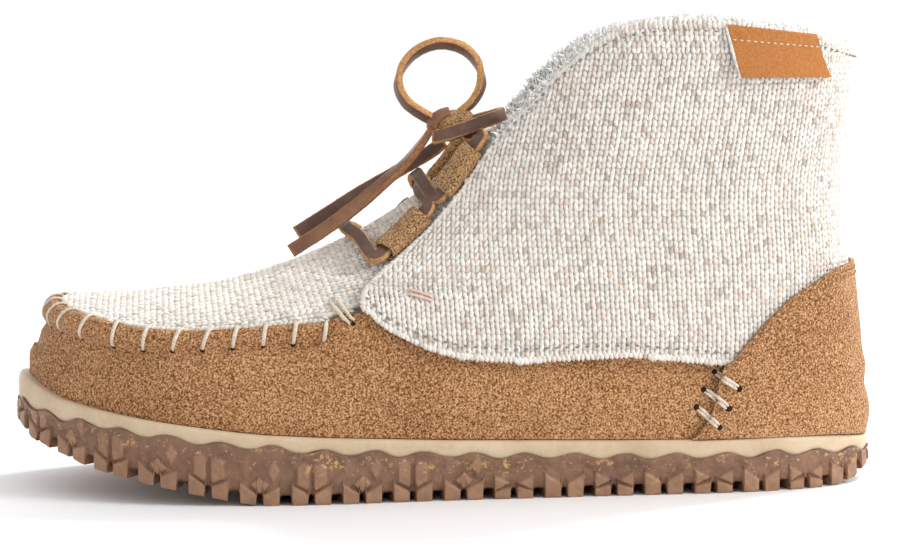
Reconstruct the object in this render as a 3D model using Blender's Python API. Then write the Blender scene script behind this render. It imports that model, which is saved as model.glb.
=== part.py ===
"""Moccasin ankle boot, left shoe: suede lower, knit plug and shaft, rubber sole, flat thong lace.

Frame: toe at -X, heel at +X, wearer's left (outer) side at -Y, +Z up, sole standing on z = 0.
Every length in the tables is in millimetres of a boot that is REF_LENGTH long and is scaled
with LENGTH; wall thicknesses, gaps and strap sizes are sizes of their own.
"""
import math

import bmesh
import bpy
import numpy as np
from mathutils import Vector

# Driving dimensions, metres
LENGTH = 0.270            # outsole, toe to heel
BALL_OUTER = 0.0490       # half width at the ball, outer side
BALL_INNER = 0.0490       # half width at the ball, inner side
SHAFT_HEIGHT = 0.1443     # highest point of the knit collar edge
WALL = 0.0020             # suede of the lower
PLUG_WALL = 0.0022        # knit of the plug and tongue
KNIT_WALL = 0.0026        # knit of the shaft
COUNTER_WALL = 0.0012     # suede of the heel counter
PILE_WALL = 0.0038        # fur lining at the collar
PILE_RISE = 0.0018        # fur above the collar edge
RIDGE_PROUD = 0.0021      # moccasin seam roll over the wall
BAND_INSET = 0.0007       # cream band behind the rubber's edge
LUG_DEPTH = 0.0021        # relief of the rubber's side
TREAD_DEPTH = 0.0030      # groove between two tread bars
LUG_PAIRS = 20            # pairs of side lugs from toe to heel
INSOLE_THICKNESS = 0.0035
FLANGE_WIDTH = 0.012      # lasting margin under the insole
FLANGE_WALL = 0.0018
SHAFT_LAP = 0.0080        # how far the suede runs up under the knit
STRAP_WIDTH = 0.0042      # flat thong lace
STRAP_THICKNESS = 0.0022
LOOP_WALL = 0.0011        # suede of the lace loops
LABEL_WIDTH = 0.0284      # as seen from the side
LABEL_DROP = 0.0157       # label's lower edge below the collar's highest point
LABEL_WALL = 0.0008
GAP = 0.0003              # clearance between neighbouring pieces

REF_LENGTH = 0.270
UNIT = LENGTH / REF_LENGTH            # table millimetre -> boot millimetre
REF_HEIGHT = 144.3
ANKLE = 75.0               # below this height the shaft's height changes nothing
REF_OUTER = 0.0497
REF_INNER = 0.0482
OUT_Y = BALL_OUTER / (REF_OUTER * UNIT)       # extra stretch of the outer side's width
IN_Y = BALL_INNER / (REF_INNER * UNIT)
MM = 0.001


def mm(length):
    """A size in metres as table millimetres."""
    return length / (MM * UNIT)


WALL_MM, PLUG_MM, KNIT_MM = mm(WALL), mm(PLUG_WALL), mm(KNIT_WALL)
GAP_MM, LAP_MM = mm(GAP), mm(SHAFT_LAP)
STRETCH = (mm(SHAFT_HEIGHT) - ANKLE) / (REF_HEIGHT - ANKLE)
KNIT_IN = WALL_MM + GAP_MM                    # inner face of the shaft, over the suede
KNIT_OUT = KNIT_IN + KNIT_MM
CHORD = 0.15                                  # room for the facets of two curved faces
COUNTER_LOW = WALL_MM + GAP_MM + 2 * CHORD    # inner face of the counter over the suede
COUNTER_HIGH = KNIT_OUT + GAP_MM + CHORD             # and over the knit
COUNTER_MM = mm(COUNTER_WALL)

# Sole: share of the length -> heights of its four lines
SOLE_ROWS = [
    # x, tread, wave (rubber's top edge), band (cream band's top edge)
    (-135.0, 21.0, 27.5, 35.5),
    (-130.0, 16.5, 26.3, 33.0),
    (-122.0, 13.9, 24.3, 30.0),
    (-110.0, 9.9, 23.4, 27.9),
    (-96.0, 7.0, 21.4, 25.9),
    (-80.0, 3.7, 19.7, 23.9),
    (-66.0, 1.1, 18.2, 22.2),
    (-58.0, 0.0, 17.5, 21.4),
    (-40.0, 0.0, 16.0, 20.3),
    (0.0, 0.0, 13.8, 18.3),
    (50.0, 0.0, 12.1, 17.0),
    (80.0, 0.0, 11.6, 16.6),
    (105.0, 0.0, 11.6, 16.8),
    (119.0, 0.0, 11.3, 16.0),
    (128.0, 1.7, 10.7, 15.0),
    (135.0, 6.2, 9.9, 13.8),
]

# Sole outline: half widths at eight equal turns from toe to heel
OUTLINE_OUTER = [22.0, 44.6, 49.7, 43.5, 38.2, 33.4, 20.0]
OUTLINE_INNER = [25.5, 43.5, 48.2, 38.5, 33.5, 32.0, 19.5]
TOE_Y = 4.0                                   # toe point, towards the inner side

# Wall rows follow the sole's outline: toe x, heel x, inset, heights
WALL_ROWS = [
    # toe_x, heel_x, inset in front, inset behind, heights above the band at the nine turns
    (-129.0, 130.3, 5.0, 5.0, [0.3] * 9),
    (-128.6, 131.0, 4.3, 4.5, [9.0] * 9),
    (-126.3, 126.6, 5.4, 7.6, [11.5, 15.5, 18.0, 22.3, 21.0, 21.0, 20.5, 21.0, 22.0]),
]
INSET_TURN = (-10.0, 90.0)    # between these the wall rows go from one inset to the other

# Upper rows, toe to collar. Each is a closed ring round the foot: front x, back x,
# heights at nine turns from front to back, half widths at the seven turns between.
RINGS = [
    # front_x, back_x, front_y, heights, outer half widths
    (-120.6, 125.2, 3.5, [56.0, 54.0, 51.0, 53.8, 57.0, 52.5, 50.0, 48.5, 48.0],
     [25.0, 38.0, 40.6, 37.0, 33.5, 28.0, 17.0]),
    (-100.0, 124.4, 3.0, [58.0, 57.2, 55.6, 58.8, 58.0, 56.5, 55.5, 55.0, 55.0],
     [17.0, 34.0, 38.2, 36.0, 33.0, 27.5, 16.5]),
    (-68.0, 123.4, 2.2, [61.8, 61.7, 62.2, 63.2, 65.5, 65.5, 64.5, 64.0, 64.0],
     [13.0, 26.5, 29.5, 32.5, 31.7, 27.0, 16.0]),
    (-35.0, 122.3, 1.0, [73.3, 73.0, 73.2, 76.0, 77.0, 76.0, 75.0, 74.0, 74.0],
     [9.0, 18.0, 25.5, 30.0, 30.2, 26.0, 15.5]),
    (-9.0, 120.6, 0.0, [88.5, 88.5, 89.5, 91.0, 92.0, 92.5, 92.5, 92.5, 92.5],
     [9.5, 18.0, 25.5, 30.0, 30.0, 25.0, 14.5]),
    (8.5, 122.4, 0.0, [105.0, 106.0, 108.0, 110.0, 110.5, 110.5, 110.0, 110.0, 110.0],
     [12.0, 21.5, 28.5, 31.5, 30.5, 24.8, 14.0]),
    (19.5, 123.4, 0.0, [122.5, 123.0, 124.0, 125.0, 125.5, 125.5, 125.5, 125.5, 125.5],
     [12.5, 23.0, 30.0, 32.5, 31.2, 25.2, 14.0]),
    (27.0, 124.2, 0.0, [137.0, 137.5, 138.0, 139.0, 139.0, 139.0, 139.0, 139.0, 139.0],
     [13.0, 23.8, 30.8, 33.4, 32.0, 26.0, 14.5]),
    (30.0, 125.2, 0.0, [152.0] * 9,
     [13.0, 23.8, 31.0, 33.6, 32.2, 26.2, 14.6]),
]
INNER_SHARE = [1.08, 1.0, 0.97, 0.93, 0.94, 0.98, 1.0]   # inner side over outer side

RIDGE_ROW = 3.0           # the ring that the moccasin seam follows
RIDGE_END_X = -35.0       # where the seam meets the knit

# Lower edge of the knit's outer face: x, height
KNIT_EDGE = [(-28.8, 60.3), (-26.2, 58.7), (-21.8, 54.4), (-15.3, 50.7), (-7.6, 47.0), (0.2, 44.7),
             (8.0, 43.4), (19.8, 42.4), (34.0, 42.7), (45.0, 42.8), (55.0, 43.0), (64.3, 42.0),
             (74.6, 40.9), (85.0, 39.7), (100.0, 38.8), (131.0, 38.4)]
# Front edge of the knit shaft: ring, x
THROAT_EDGE = [(3.6, -28.5), (4.3, -27.3), (5.0, -25.2), (5.35, -20.8), (5.6, -16.2), (6.1, -9.2),
               (6.5, -3.3), (7.0, 4.0), (7.45, 9.8), (8.0, 17.0)]
# Collar edge of the knit's outer face: x, height
COLLAR_EDGE = [(11.6, 104.8), (13.7, 107.4), (19.1, 112.8), (24.4, 118.2), (29.7, 124.8), (35.6, 130.6),
               (41.7, 135.9), (48.4, 139.9), (55.7, 142.5), (65.4, 144.1), (73.0, 144.3), (81.6, 144.1),
               (97.0, 142.8), (111.5, 140.7), (126.8, 136.6), (131.0, 135.6)]
INNER_DROP = 0.23          # rows by which the inner side's collar is lower than the outer side's
# Side edge of the tongue, under the shaft: ring, x
TONGUE_EDGE = [(3.1, -38.5), (3.6, -34.0), (4.0, -29.0), (5.0, -17.0), (6.0, -5.0), (7.0, 7.0), (8.0, 16.0),
               (8.25, 17.0)]
TONGUE_TOP = 8.25
# Heel counter: foot of its front seam, top edge
COUNTER_FOOT_X = 73.4
COUNTER_EDGE = [(83.7, 39.6), (86.2, 40.6), (88.6, 43.8), (93.3, 49.3), (98.4, 54.4), (104.8, 60.0), (111.8, 63.9),
                (118.8, 67.4), (124.8, 69.5), (131.0, 70.6)]
COUNTER_RAMP = (9.5, 1.6)     # below the knit's edge the counter steps in over this stretch

RIDGE_PROFILE = [
    # distance below the seam's top edge, share of the roll's height
    (0.0, 0.45), (1.2, 0.95), (3.4, 1.0), (5.4, 0.45), (6.9, -0.18), (9.0, 0.0),
]
RIDGE_FADE = (-36.0, -28.0)

TURNS = 16


def interp(table, value, column=1):
    """Column of a short table at a value of its first column."""
    return float(np.interp(value, [row[0] for row in table], [row[column] for row in table]))


def stretched(height):
    """A table height, with the part above the ankle stretched to the shaft's height."""
    return height if height < ANKLE else ANKLE + (height - ANKLE) * STRETCH


def smooth(low, high, value):
    t = min(max((value - low) / (high - low), 0.0), 1.0)
    return t * t * (3.0 - 2.0 * t)


def catmull(p0, p1, p2, p3, t):
    return 0.5 * (2 * p1 + (p2 - p0) * t + (2 * p0 - 5 * p1 + 4 * p2 - p3) * t * t
                  + (3 * p1 - p0 - 3 * p2 + p3) * t ** 3)


def ring_values(values, angle):
    """Smooth value round a ring from TURNS equal stations."""
    s = (angle / (2 * math.pi) * TURNS) % TURNS
    k = int(s)
    picked = [values[(k + j - 1) % TURNS] for j in range(4)]
    return catmull(*picked, s - k)


# The sole's plan

def outline_stations():
    y = [TOE_Y] + [-w * OUT_Y for w in OUTLINE_OUTER] + [0.0]
    return y + [w * IN_Y for w in reversed(OUTLINE_INNER)]


OUTLINE_Y = outline_stations()
HALF = REF_LENGTH / (2 * MM)


def outline_point(angle):
    """Point of the rubber's outline; angle 0 at the toe, turning over the outer side."""
    return Vector((-HALF * math.cos(angle), ring_values(OUTLINE_Y, angle)))


def outline_inset(inset, count=720):
    """The outline moved inwards, as evenly turned points."""
    points = []
    for k in range(count):
        a = 2 * math.pi * k / count
        tangent = (outline_point(a + 1e-3) - outline_point(a - 1e-3)).normalized()
        points.append(outline_point(a) + Vector((-tangent.y, tangent.x)) * inset)
    return points


def even_outline(inset, per_side):
    """Points on the inset outline, equally spaced from toe to heel on each side."""
    dense = outline_inset(inset)
    half = len(dense) // 2
    sides = []
    for part in (dense[:half + 1], dense[half:] + dense[:1]):
        steps = [0.0]
        for a, b in zip(part, part[1:]):
            steps.append(steps[-1] + (b - a).length)
        marks = np.linspace(0.0, steps[-1], per_side + 1)[:-1]
        xs = np.interp(marks, steps, [p.x for p in part])
        ys = np.interp(marks, steps, [p.y for p in part])
        sides.append([Vector((x, y)) for x, y in zip(xs, ys)])
    return sides[0] + sides[1]


def band_top(x):
    return interp(SOLE_ROWS, x, 3)


# The last: rings round the foot, joined by a smooth surface

def wall_ring(toe_x, heel_x, inset_front, inset_back, heights):
    pairs = zip(outline_inset(inset_front), outline_inset(inset_back))
    dense = [a.lerp(b, smooth(*INSET_TURN, a.x)) for a, b in pairs]
    half = len(dense) // 2
    toe, heel = dense[0], dense[half]
    sides = []
    for part in (dense[:half + 1], dense[half:] + dense[:1]):
        part = sorted(part, key=lambda p: p.x)
        xs = [(p.x - toe.x) / (heel.x - toe.x) for p in part]
        sides.append([float(np.interp((1 - math.cos(math.pi * k / 8)) / 2, xs, [p.y for p in part]))
                      for k in range(1, 8)])
    y = [TOE_Y] + sides[0] + [0.0] + list(reversed(sides[1]))
    xs = [toe_x + (heel_x - toe_x) * (1 - math.cos(math.pi * k / 8)) / 2 for k in range(9)]
    z = [band_top(x) + h for x, h in zip(xs, heights)]
    return toe_x, heel_x, y, z + z[7:0:-1]


def upper_ring(front_x, back_x, front_y, heights, widths):
    y = [front_y] + [-w * OUT_Y for w in widths] + [0.0]
    y += [w * share * IN_Y for w, share in zip(reversed(widths), reversed(INNER_SHARE))]
    z = [stretched(h) for h in heights]
    return front_x, back_x, y, z + z[7:0:-1]


ROWS = [wall_ring(*row) for row in WALL_ROWS] + [upper_ring(*row) for row in RINGS]
ROW_ARRAY = np.array([[r[0], r[1]] + list(r[2]) + list(r[3]) for r in ROWS])
TOP_ROW = len(ROWS) - 1


def blended_row(v):
    v = min(max(v, 0.0), TOP_ROW - 1e-6)
    k = int(v)
    picked = [ROW_ARRAY[min(max(k + j - 1, 0), TOP_ROW)] for j in range(4)]
    return catmull(*picked, v - k)


def last_point(angle, v):
    """Point of the last: angle round the foot, v from the sole's edge to above the collar."""
    row = blended_row(v)
    x = row[0] + (row[1] - row[0]) * (1 - math.cos(angle)) / 2
    return Vector((x, ring_values(row[2:18], angle), ring_values(row[18:34], angle)))


def last_normal(angle, v):
    da = last_point(angle + 0.01, v) - last_point(angle - 0.01, v)
    dv = last_point(angle, min(v + 0.03, TOP_ROW)) - last_point(angle, max(v - 0.03, 0.0))
    return dv.cross(da).normalized() * -1.0


def skin(angle, v, offset):
    return last_point(angle, v) + last_normal(angle, v) * offset


def angle_at(v, x):
    """Angle on the outer side where ring v passes x."""
    row = blended_row(v)
    share = (x - row[0]) / (row[1] - row[0])
    return math.acos(min(max(1.0 - 2.0 * share, -1.0), 1.0))


def row_at(angle, height, low=0.6, high=None, offset=None):
    """Row where the column at this angle reaches height(x), measured on the knit's outer
    face or at another offset from the last."""
    high = TOP_ROW if high is None else high
    offset = KNIT_OUT if offset is None else offset

    def below(v):
        p = skin(angle, v, offset)
        return p.z < height(p.x)

    a = low
    while a < high and below(min(a + 0.25, high)):
        a += 0.25
    b = min(a + 0.25, high)
    for _ in range(14):
        v = (a + b) / 2
        a, b = (v, b) if below(v) else (a, v)
    return (a + b) / 2


def knit_edge(x):
    return interp(KNIT_EDGE, x)


def collar_edge(x):
    return stretched(interp(COLLAR_EDGE, x))


def counter_edge(x):
    return interp(COUNTER_EDGE, x)


def throat_angle(v):
    return angle_at(v, interp(THROAT_EDGE, v))


def tongue_angle(v):
    return angle_at(v, interp(TONGUE_EDGE, v))


# Meshes

def make_object(name, mesh, colour, roughness):
    obj = bpy.data.objects.new(name, mesh)
    BOOT.objects.link(obj)
    material = bpy.data.materials.new(name + "_material")
    material.use_nodes = True
    shader = material.node_tree.nodes["Principled BSDF"]
    shader.inputs["Base Color"].default_value = (*colour, 1.0)
    shader.inputs["Roughness"].default_value = roughness
    shader.inputs["Metallic"].default_value = 0.0
    mesh.materials.append(material)
    mesh.shade_smooth()
    mesh.set_sharp_from_angle(angle=math.radians(35))
    return obj


def closed_grid(name, grid, colour, roughness, wrap=True, cap_ends=False):
    """Closed solid from columns of points; each column is a closed loop of its own.

    With wrap the last column joins the first, otherwise the two end columns are capped."""
    bm = bmesh.new()
    verts = [[bm.verts.new(Vector(p) * (MM * UNIT)) for p in column] for column in grid]
    columns, points = len(grid), len(grid[0])
    for i in range(columns if wrap else columns - 1):
        a, b = verts[i], verts[(i + 1) % columns]
        for j in range(points):
            k = (j + 1) % points
            bm.faces.new((a[j], b[j], b[k], a[k]))
    if cap_ends:
        bm.faces.new(verts[0])
        bm.faces.new(list(reversed(verts[-1])))
    bmesh.ops.recalc_face_normals(bm, faces=bm.faces)
    mesh = bpy.data.meshes.new(name)
    bm.to_mesh(mesh)
    bm.free()
    return make_object(name, mesh, colour, roughness)


def sheet_solid(name, outer, inner, colour, roughness):
    """Closed solid from two grids of points, one for each face of a sheet."""
    columns, points = len(outer), len(outer[0])
    bm = bmesh.new()
    out = [[bm.verts.new(Vector(p) * (MM * UNIT)) for p in column] for column in outer]
    inn = [[bm.verts.new(Vector(p) * (MM * UNIT)) for p in column] for column in inner]
    for face, flip in ((out, False), (inn, True)):
        for i in range(columns - 1):
            for j in range(points - 1):
                quad = [face[i][j], face[i + 1][j], face[i + 1][j + 1], face[i][j + 1]]
                bm.faces.new(quad[::-1] if flip else quad)
    edge = [(i, 0) for i in range(columns - 1)] + [(columns - 1, j) for j in range(points - 1)]
    edge += [(i, points - 1) for i in range(columns - 1, 0, -1)] + [(0, j) for j in range(points - 1, 0, -1)]
    for (i, j), (k, l) in zip(edge, edge[1:] + edge[:1]):
        bm.faces.new((out[i][j], inn[i][j], inn[k][l], out[k][l]))
    bmesh.ops.recalc_face_normals(bm, faces=bm.faces)
    mesh = bpy.data.meshes.new(name)
    bm.to_mesh(mesh)
    bm.free()
    return make_object(name, mesh, colour, roughness)


def plan_solid(name, rings, colour, roughness):
    """Closed solid from rings of plan points, bottom to top; the first and last ring are
    closed with strips across from the outer to the inner side."""
    count = len(rings[0])
    bm = bmesh.new()
    verts = [[bm.verts.new(Vector(p) * (MM * UNIT)) for p in ring] for ring in rings]
    for low, high in zip(verts, verts[1:]):
        for k in range(count):
            n = (k + 1) % count
            bm.faces.new((low[k], low[n], high[n], high[k]))
    half = count // 2
    for ring in (verts[0], verts[-1]):
        for k in range(half):
            a, b = ring[k], ring[k + 1]
            c, d = ring[(count - k - 1) % count], ring[(count - k) % count]
            corners = [a, b, c, d]
            kept = [v for j, v in enumerate(corners) if v not in corners[:j]]
            if len(kept) > 2:
                bm.faces.new(kept)
    bmesh.ops.recalc_face_normals(bm, faces=bm.faces)
    mesh = bpy.data.meshes.new(name)
    bm.to_mesh(mesh)
    bm.free()
    return make_object(name, mesh, colour, roughness)


# Sole

LUG_SHAPE = [1, 0, 0, 0, 1, 0, 0, 0, 1]    # one pair of lugs; 1 where a point lies in a groove
SOLE_COLUMNS = len(LUG_SHAPE)
COUNT = SOLE_COLUMNS * LUG_PAIRS           # points on each side
WAVE_HEIGHT = 0.8
WAVE_CREST = 0.7                           # place of the wave's crest in a pair's pitch
SOLE_SHARES = [0.0, 0.30, 0.44, 0.66, 1.0]  # shares of the side's height
RIM_DEPTH = [0.33] * 9
SIDE_SHAPES = [
    # share of the lugs' relief at each of the shares above, for the four kinds of pair
    # diamond between the lugs
    [LUG_SHAPE, LUG_SHAPE, [1, 0, 0.3, 0.9, 0.05, 0.9, 0.3, 0, 1],
     [0.6, 0.4, 0.1, 0.5, 0.6, 0.5, 0.1, 0.4, 0.6], RIM_DEPTH],
    # two ribs over the lugs
    [LUG_SHAPE, LUG_SHAPE, [1, 0.2, 0.7, 0.1, 0.9, 0.1, 0.7, 0.2, 1],
     [0.6, 0.5, 0.3, 0.05, 0.8, 0.05, 0.3, 0.5, 0.6], RIM_DEPTH],
    # tall pointed lugs
    [LUG_SHAPE, LUG_SHAPE, LUG_SHAPE,
     [0.8, 0.6, 0.1, 0.6, 0.8, 0.6, 0.1, 0.6, 0.8], RIM_DEPTH],
    # triangles that point at each other
    [LUG_SHAPE, LUG_SHAPE, [0.9, 0.1, 0.2, 0.7, 1, 0.7, 0.2, 0.1, 0.9],
     [0.7, 0.2, 0.6, 0.7, 0.8, 0.7, 0.6, 0.2, 0.7], RIM_DEPTH],
]
REAR_PAIR = 11 / 20                        # share of the pairs in front of the rear kinds


def from_toe(k):
    """Place of an outline point counted from the toe, on either side."""
    return k if k <= COUNT else 2 * COUNT - k


def side_depth(k, row):
    """Share of the lugs' relief at an outline point, for one of the side's rows."""
    pair, column = divmod(from_toe(k), SOLE_COLUMNS)
    kind = pair % 2 + (2 if pair >= REAR_PAIR * LUG_PAIRS else 0)
    return SIDE_SHAPES[kind][row][column]


def wave(k):
    return WAVE_HEIGHT * math.cos(2 * math.pi * (from_toe(k) / SOLE_COLUMNS - WAVE_CREST))


def outsole():
    outline = even_outline(0.0, COUNT)
    inward = even_outline(mm(LUG_DEPTH), COUNT)
    core = even_outline(mm(LUG_DEPTH) + 3.0, COUNT)
    rings = []

    def tread(k, x):
        groove = LUG_SHAPE[from_toe(k) % SOLE_COLUMNS]
        return interp(SOLE_ROWS, x, 1) + groove * mm(TREAD_DEPTH)

    rings.append([(p.x, p.y, tread(k, p.x)) for k, p in enumerate(core)])
    for row, share in enumerate(SOLE_SHARES):
        ring = []
        for k, (far, near) in enumerate(zip(outline, inward)):
            p = far.lerp(near, side_depth(k, row))
            low, high = tread(k, p.x), interp(SOLE_ROWS, p.x, 2) + wave(k)
            ring.append((p.x, p.y, low + (high - low) * share))
        rings.append(ring)
    rings.append([(p.x, p.y, interp(SOLE_ROWS, p.x, 2) - WAVE_HEIGHT) for p in core])
    return plan_solid("outsole", rings, (0.36, 0.20, 0.10), 0.55)


def midsole():
    edge = even_outline(mm(BAND_INSET), COUNT)
    core = even_outline(mm(LUG_DEPTH) + 3.0, COUNT)
    rest = GAP_MM + CHORD
    low_core = [(p.x, p.y, interp(SOLE_ROWS, p.x, 2) - WAVE_HEIGHT + rest) for p in core]
    low = [(p.x, p.y, interp(SOLE_ROWS, p.x, 2) + wave(k) + rest) for k, p in enumerate(edge)]
    top = [(p.x, p.y, band_top(p.x)) for p in edge]
    return plan_solid("midsole", [low_core, low, top], (0.80, 0.69, 0.50), 0.45)


def insole():
    inset = WALL_ROWS[0][2] + 2.4
    base = GAP_MM + mm(FLANGE_WALL) + GAP_MM + 0.4
    count = 22
    edge = even_outline(inset, count)
    crown = even_outline(inset + 0.8, count)
    low = [(p.x, p.y, band_top(p.x) + base) for p in edge]
    high = [(p.x, p.y, band_top(p.x) + base + mm(INSOLE_THICKNESS) - 0.8) for p in edge]
    top = [(p.x, p.y, band_top(p.x) + base + mm(INSOLE_THICKNESS)) for p in crown]
    return plan_solid("insole", [low, high, top], (0.78, 0.72, 0.62), 0.9)


# Upper

UPPER_COLUMNS = 72
WALL_STEPS = 3


def ridge_share(x):
    return 1.0 - smooth(*RIDGE_FADE, x)


def upper_top(angle):
    """Row of the suede's top edge: the moccasin seam in front, under the knit behind."""
    x = last_point(angle, RIDGE_ROW).x
    if x < RIDGE_END_X:
        return RIDGE_ROW

    def height(x):
        return knit_edge(x) + LAP_MM * smooth(-28.0, -2.0, x)

    return RIDGE_ROW + (row_at(angle, height) - RIDGE_ROW) * smooth(RIDGE_END_X, RIDGE_END_X + 7.0, x)


def down_column(angle, top, distances):
    """Rows at the given distances below the top edge of a column."""
    rows = np.linspace(top, 0.0, 60)
    points = [last_point(angle, v) for v in rows]
    steps = [0.0]
    for a, b in zip(points, points[1:]):
        steps.append(steps[-1] + (b - a).length)
    return [float(np.interp(d, steps, rows)) for d in distances], steps[-1]


def upper_column(angle):
    top = upper_top(angle)
    share = ridge_share(last_point(angle, top).x)
    ridge_rows, total = down_column(angle, top, [row[0] for row in RIDGE_PROFILE])
    start = RIDGE_PROFILE[-1][0]
    marks = [start + (total - start) * (k + 1) / WALL_STEPS for k in range(WALL_STEPS)]
    low_rows, _ = down_column(angle, top, marks)
    column = []
    for v, (_, height) in zip(ridge_rows, RIDGE_PROFILE):
        column.append(skin(angle, v, WALL_MM + share * height * mm(RIDGE_PROUD)))
    column += [skin(angle, v, WALL_MM) for v in low_rows]
    foot = last_point(angle, 0.0)
    outward = last_normal(angle, 0.0)
    column[-1] = Vector((column[-1].x, column[-1].y, band_top(column[-1].x) + GAP_MM))
    width = mm(FLANGE_WIDTH) - WALL_MM
    plan = Vector((outward.x, outward.y, 0.0)).normalized()
    rim = foot - plan * width
    rim_base = band_top(rim.x) + GAP_MM
    column.append(Vector((rim.x, rim.y, rim_base)))
    column.append(Vector((rim.x, rim.y, rim_base + mm(FLANGE_WALL))))
    column.append(Vector((foot.x, foot.y, band_top(foot.x) + GAP_MM + mm(FLANGE_WALL))))
    inner = [marks[1], 2.4]
    inner_rows, _ = down_column(angle, top, inner)
    column += [skin(angle, v, 0.0) for v in inner_rows]
    column.append(skin(angle, top, 0.0))
    return column


def upper():
    grid = [upper_column(2 * math.pi * k / UPPER_COLUMNS) for k in range(UPPER_COLUMNS)]
    return closed_grid("upper", grid, (0.56, 0.33, 0.15), 0.9)


def plug():
    """Knit apron over the toes, running up as the tongue."""
    rows = [3.08, 3.2, 3.5, 3.9, 4.4, 4.9, 5.4, 5.9, 6.4, 6.9, 7.4, 7.9, TONGUE_TOP]
    across = 18
    outer, inner = [], []
    for k in range(across + 1):
        turn = -math.cos(math.pi * k / across) * 0.35 + (2.0 * k / across - 1.0) * 0.65
        out_column, in_column = [], []
        for v in rows:
            angle = -turn * tongue_angle(v)
            edge = 1.0 - smooth(0.86, 1.0, abs(turn)) * 0.5
            out_column.append(skin(angle, v, 0.15 + (PLUG_MM - 0.25) * edge))
            in_column.append(skin(angle, v, 0.0))
        outer.append(out_column)
        inner.append(in_column)
    return sheet_solid("plug_tongue", outer, inner, (0.74, 0.70, 0.64), 0.95)


SHAFT_COLUMNS = 50
SHAFT_ROWS = 10


def shaft_patch(s, r):
    """Angle and row on the shaft: s from the outer front edge round the heel to the inner
    front edge, r from the lower edge to the collar."""
    side = s if s <= 0.5 else 1.0 - s
    corner_row, throat_row = THROAT_EDGE[0][0], THROAT_EDGE[-1][0]
    corner, throat = throat_angle(corner_row), throat_angle(throat_row)

    def lower(u):
        angle = corner + (math.pi - corner) * (2.0 * u)
        return angle, row_at(angle, knit_edge, 1.0, 5.0)

    def upper_edge(u):
        angle = throat + (math.pi - throat) * (2.0 * u)
        return angle, row_at(angle, collar_edge, 6.0)

    low, high = lower(side), upper_edge(side)
    drop = collar_drop(s) * r * r
    v = corner_row + (throat_row - corner_row) * r - drop
    front = throat_angle(v), v + drop
    low0, high0 = lower(0.0), upper_edge(0.0)
    fade = max(1.0 - 2.0 * side / 0.85, 0.0) ** 1.5
    angle = (1 - r) * low[0] + r * high[0] + fade * (front[0] - (1 - r) * low0[0] - r * high0[0])
    row = (1 - r) * low[1] + r * high[1] + fade * (front[1] - (1 - r) * low0[1] - r * high0[1])
    return (angle if s <= 0.5 else 2 * math.pi - angle), row - drop


def collar_drop(s):
    return INNER_DROP * smooth(0.5, 0.7, s)


def shaft():
    outer, inner = [], []
    for i in range(SHAFT_COLUMNS + 1):
        s = i / SHAFT_COLUMNS
        out_column, in_column = [], []
        for j in range(SHAFT_ROWS + 1):
            angle, v = shaft_patch(s, j / SHAFT_ROWS)
            out_column.append(skin(angle, v, KNIT_OUT))
            in_column.append(skin(angle, v, KNIT_IN))
        outer.append(out_column)
        inner.append(in_column)
    return sheet_solid("shaft", outer, inner, (0.76, 0.72, 0.66), 0.95)


def counter():
    """Suede heel counter: over the lower at its foot, over the knit above."""
    columns = 34
    low0, high0 = angle_at(0.0, COUNTER_FOOT_X), None
    for k in range(100):
        angle = 1.6 + k * 0.01
        v = row_at(angle, counter_edge, 0.8, 5.5)
        if skin(angle, v, KNIT_OUT).x >= COUNTER_EDGE[0][0]:
            high0 = angle
            break
    outer, inner = [], []
    for i in range(columns + 1):
        s = i / columns
        side = min(s, 1.0 - s) * 2.0
        foot_angle = low0 + (math.pi - low0) * side
        head_angle = high0 + (math.pi - high0) * side
        head_row = row_at(head_angle, counter_edge, 0.8, 5.5)

        def place(r):
            return foot_angle + (head_angle - foot_angle) * r, head_row * r

        trial = np.linspace(0.0, 1.0, 80)
        above = [skin(*place(r), KNIT_OUT) for r in trial]
        above = [p.z - knit_edge(p.x) for p in above]
        ramp = [float(np.interp(-d, above, trial)) for d in COUNTER_RAMP]
        marks = [0.0, ramp[0] / 2] + list(np.linspace(ramp[0], ramp[1], 4))
        marks += list(np.linspace(ramp[1], 1.0, 5))[1:]
        out_column, in_column = [], []
        for j, r in enumerate(marks):
            angle, v = place(r)
            p = skin(angle, v, KNIT_OUT)
            edge = knit_edge(p.x)
            climb = smooth(edge - COUNTER_RAMP[0], edge - COUNTER_RAMP[1], p.z + 0.01)
            base = COUNTER_LOW + (COUNTER_HIGH - COUNTER_LOW) * climb
            if s > 0.5:
                angle = 2 * math.pi - angle
            inside, outside = skin(angle, v, base), skin(angle, v, base + COUNTER_MM)
            if j == 0:
                inside.z, outside.z = band_top(inside.x) + GAP_MM, band_top(outside.x) + GAP_MM
            out_column.append(outside)
            in_column.append(inside)
        outer.append(out_column)
        inner.append(in_column)
    return sheet_solid("heel_counter", outer, inner, (0.55, 0.32, 0.15), 0.9)


PILE_START_X = 28.5
PILE_DEPTH = 17.0
PILE_FRONT_RISE = 2.6


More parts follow.
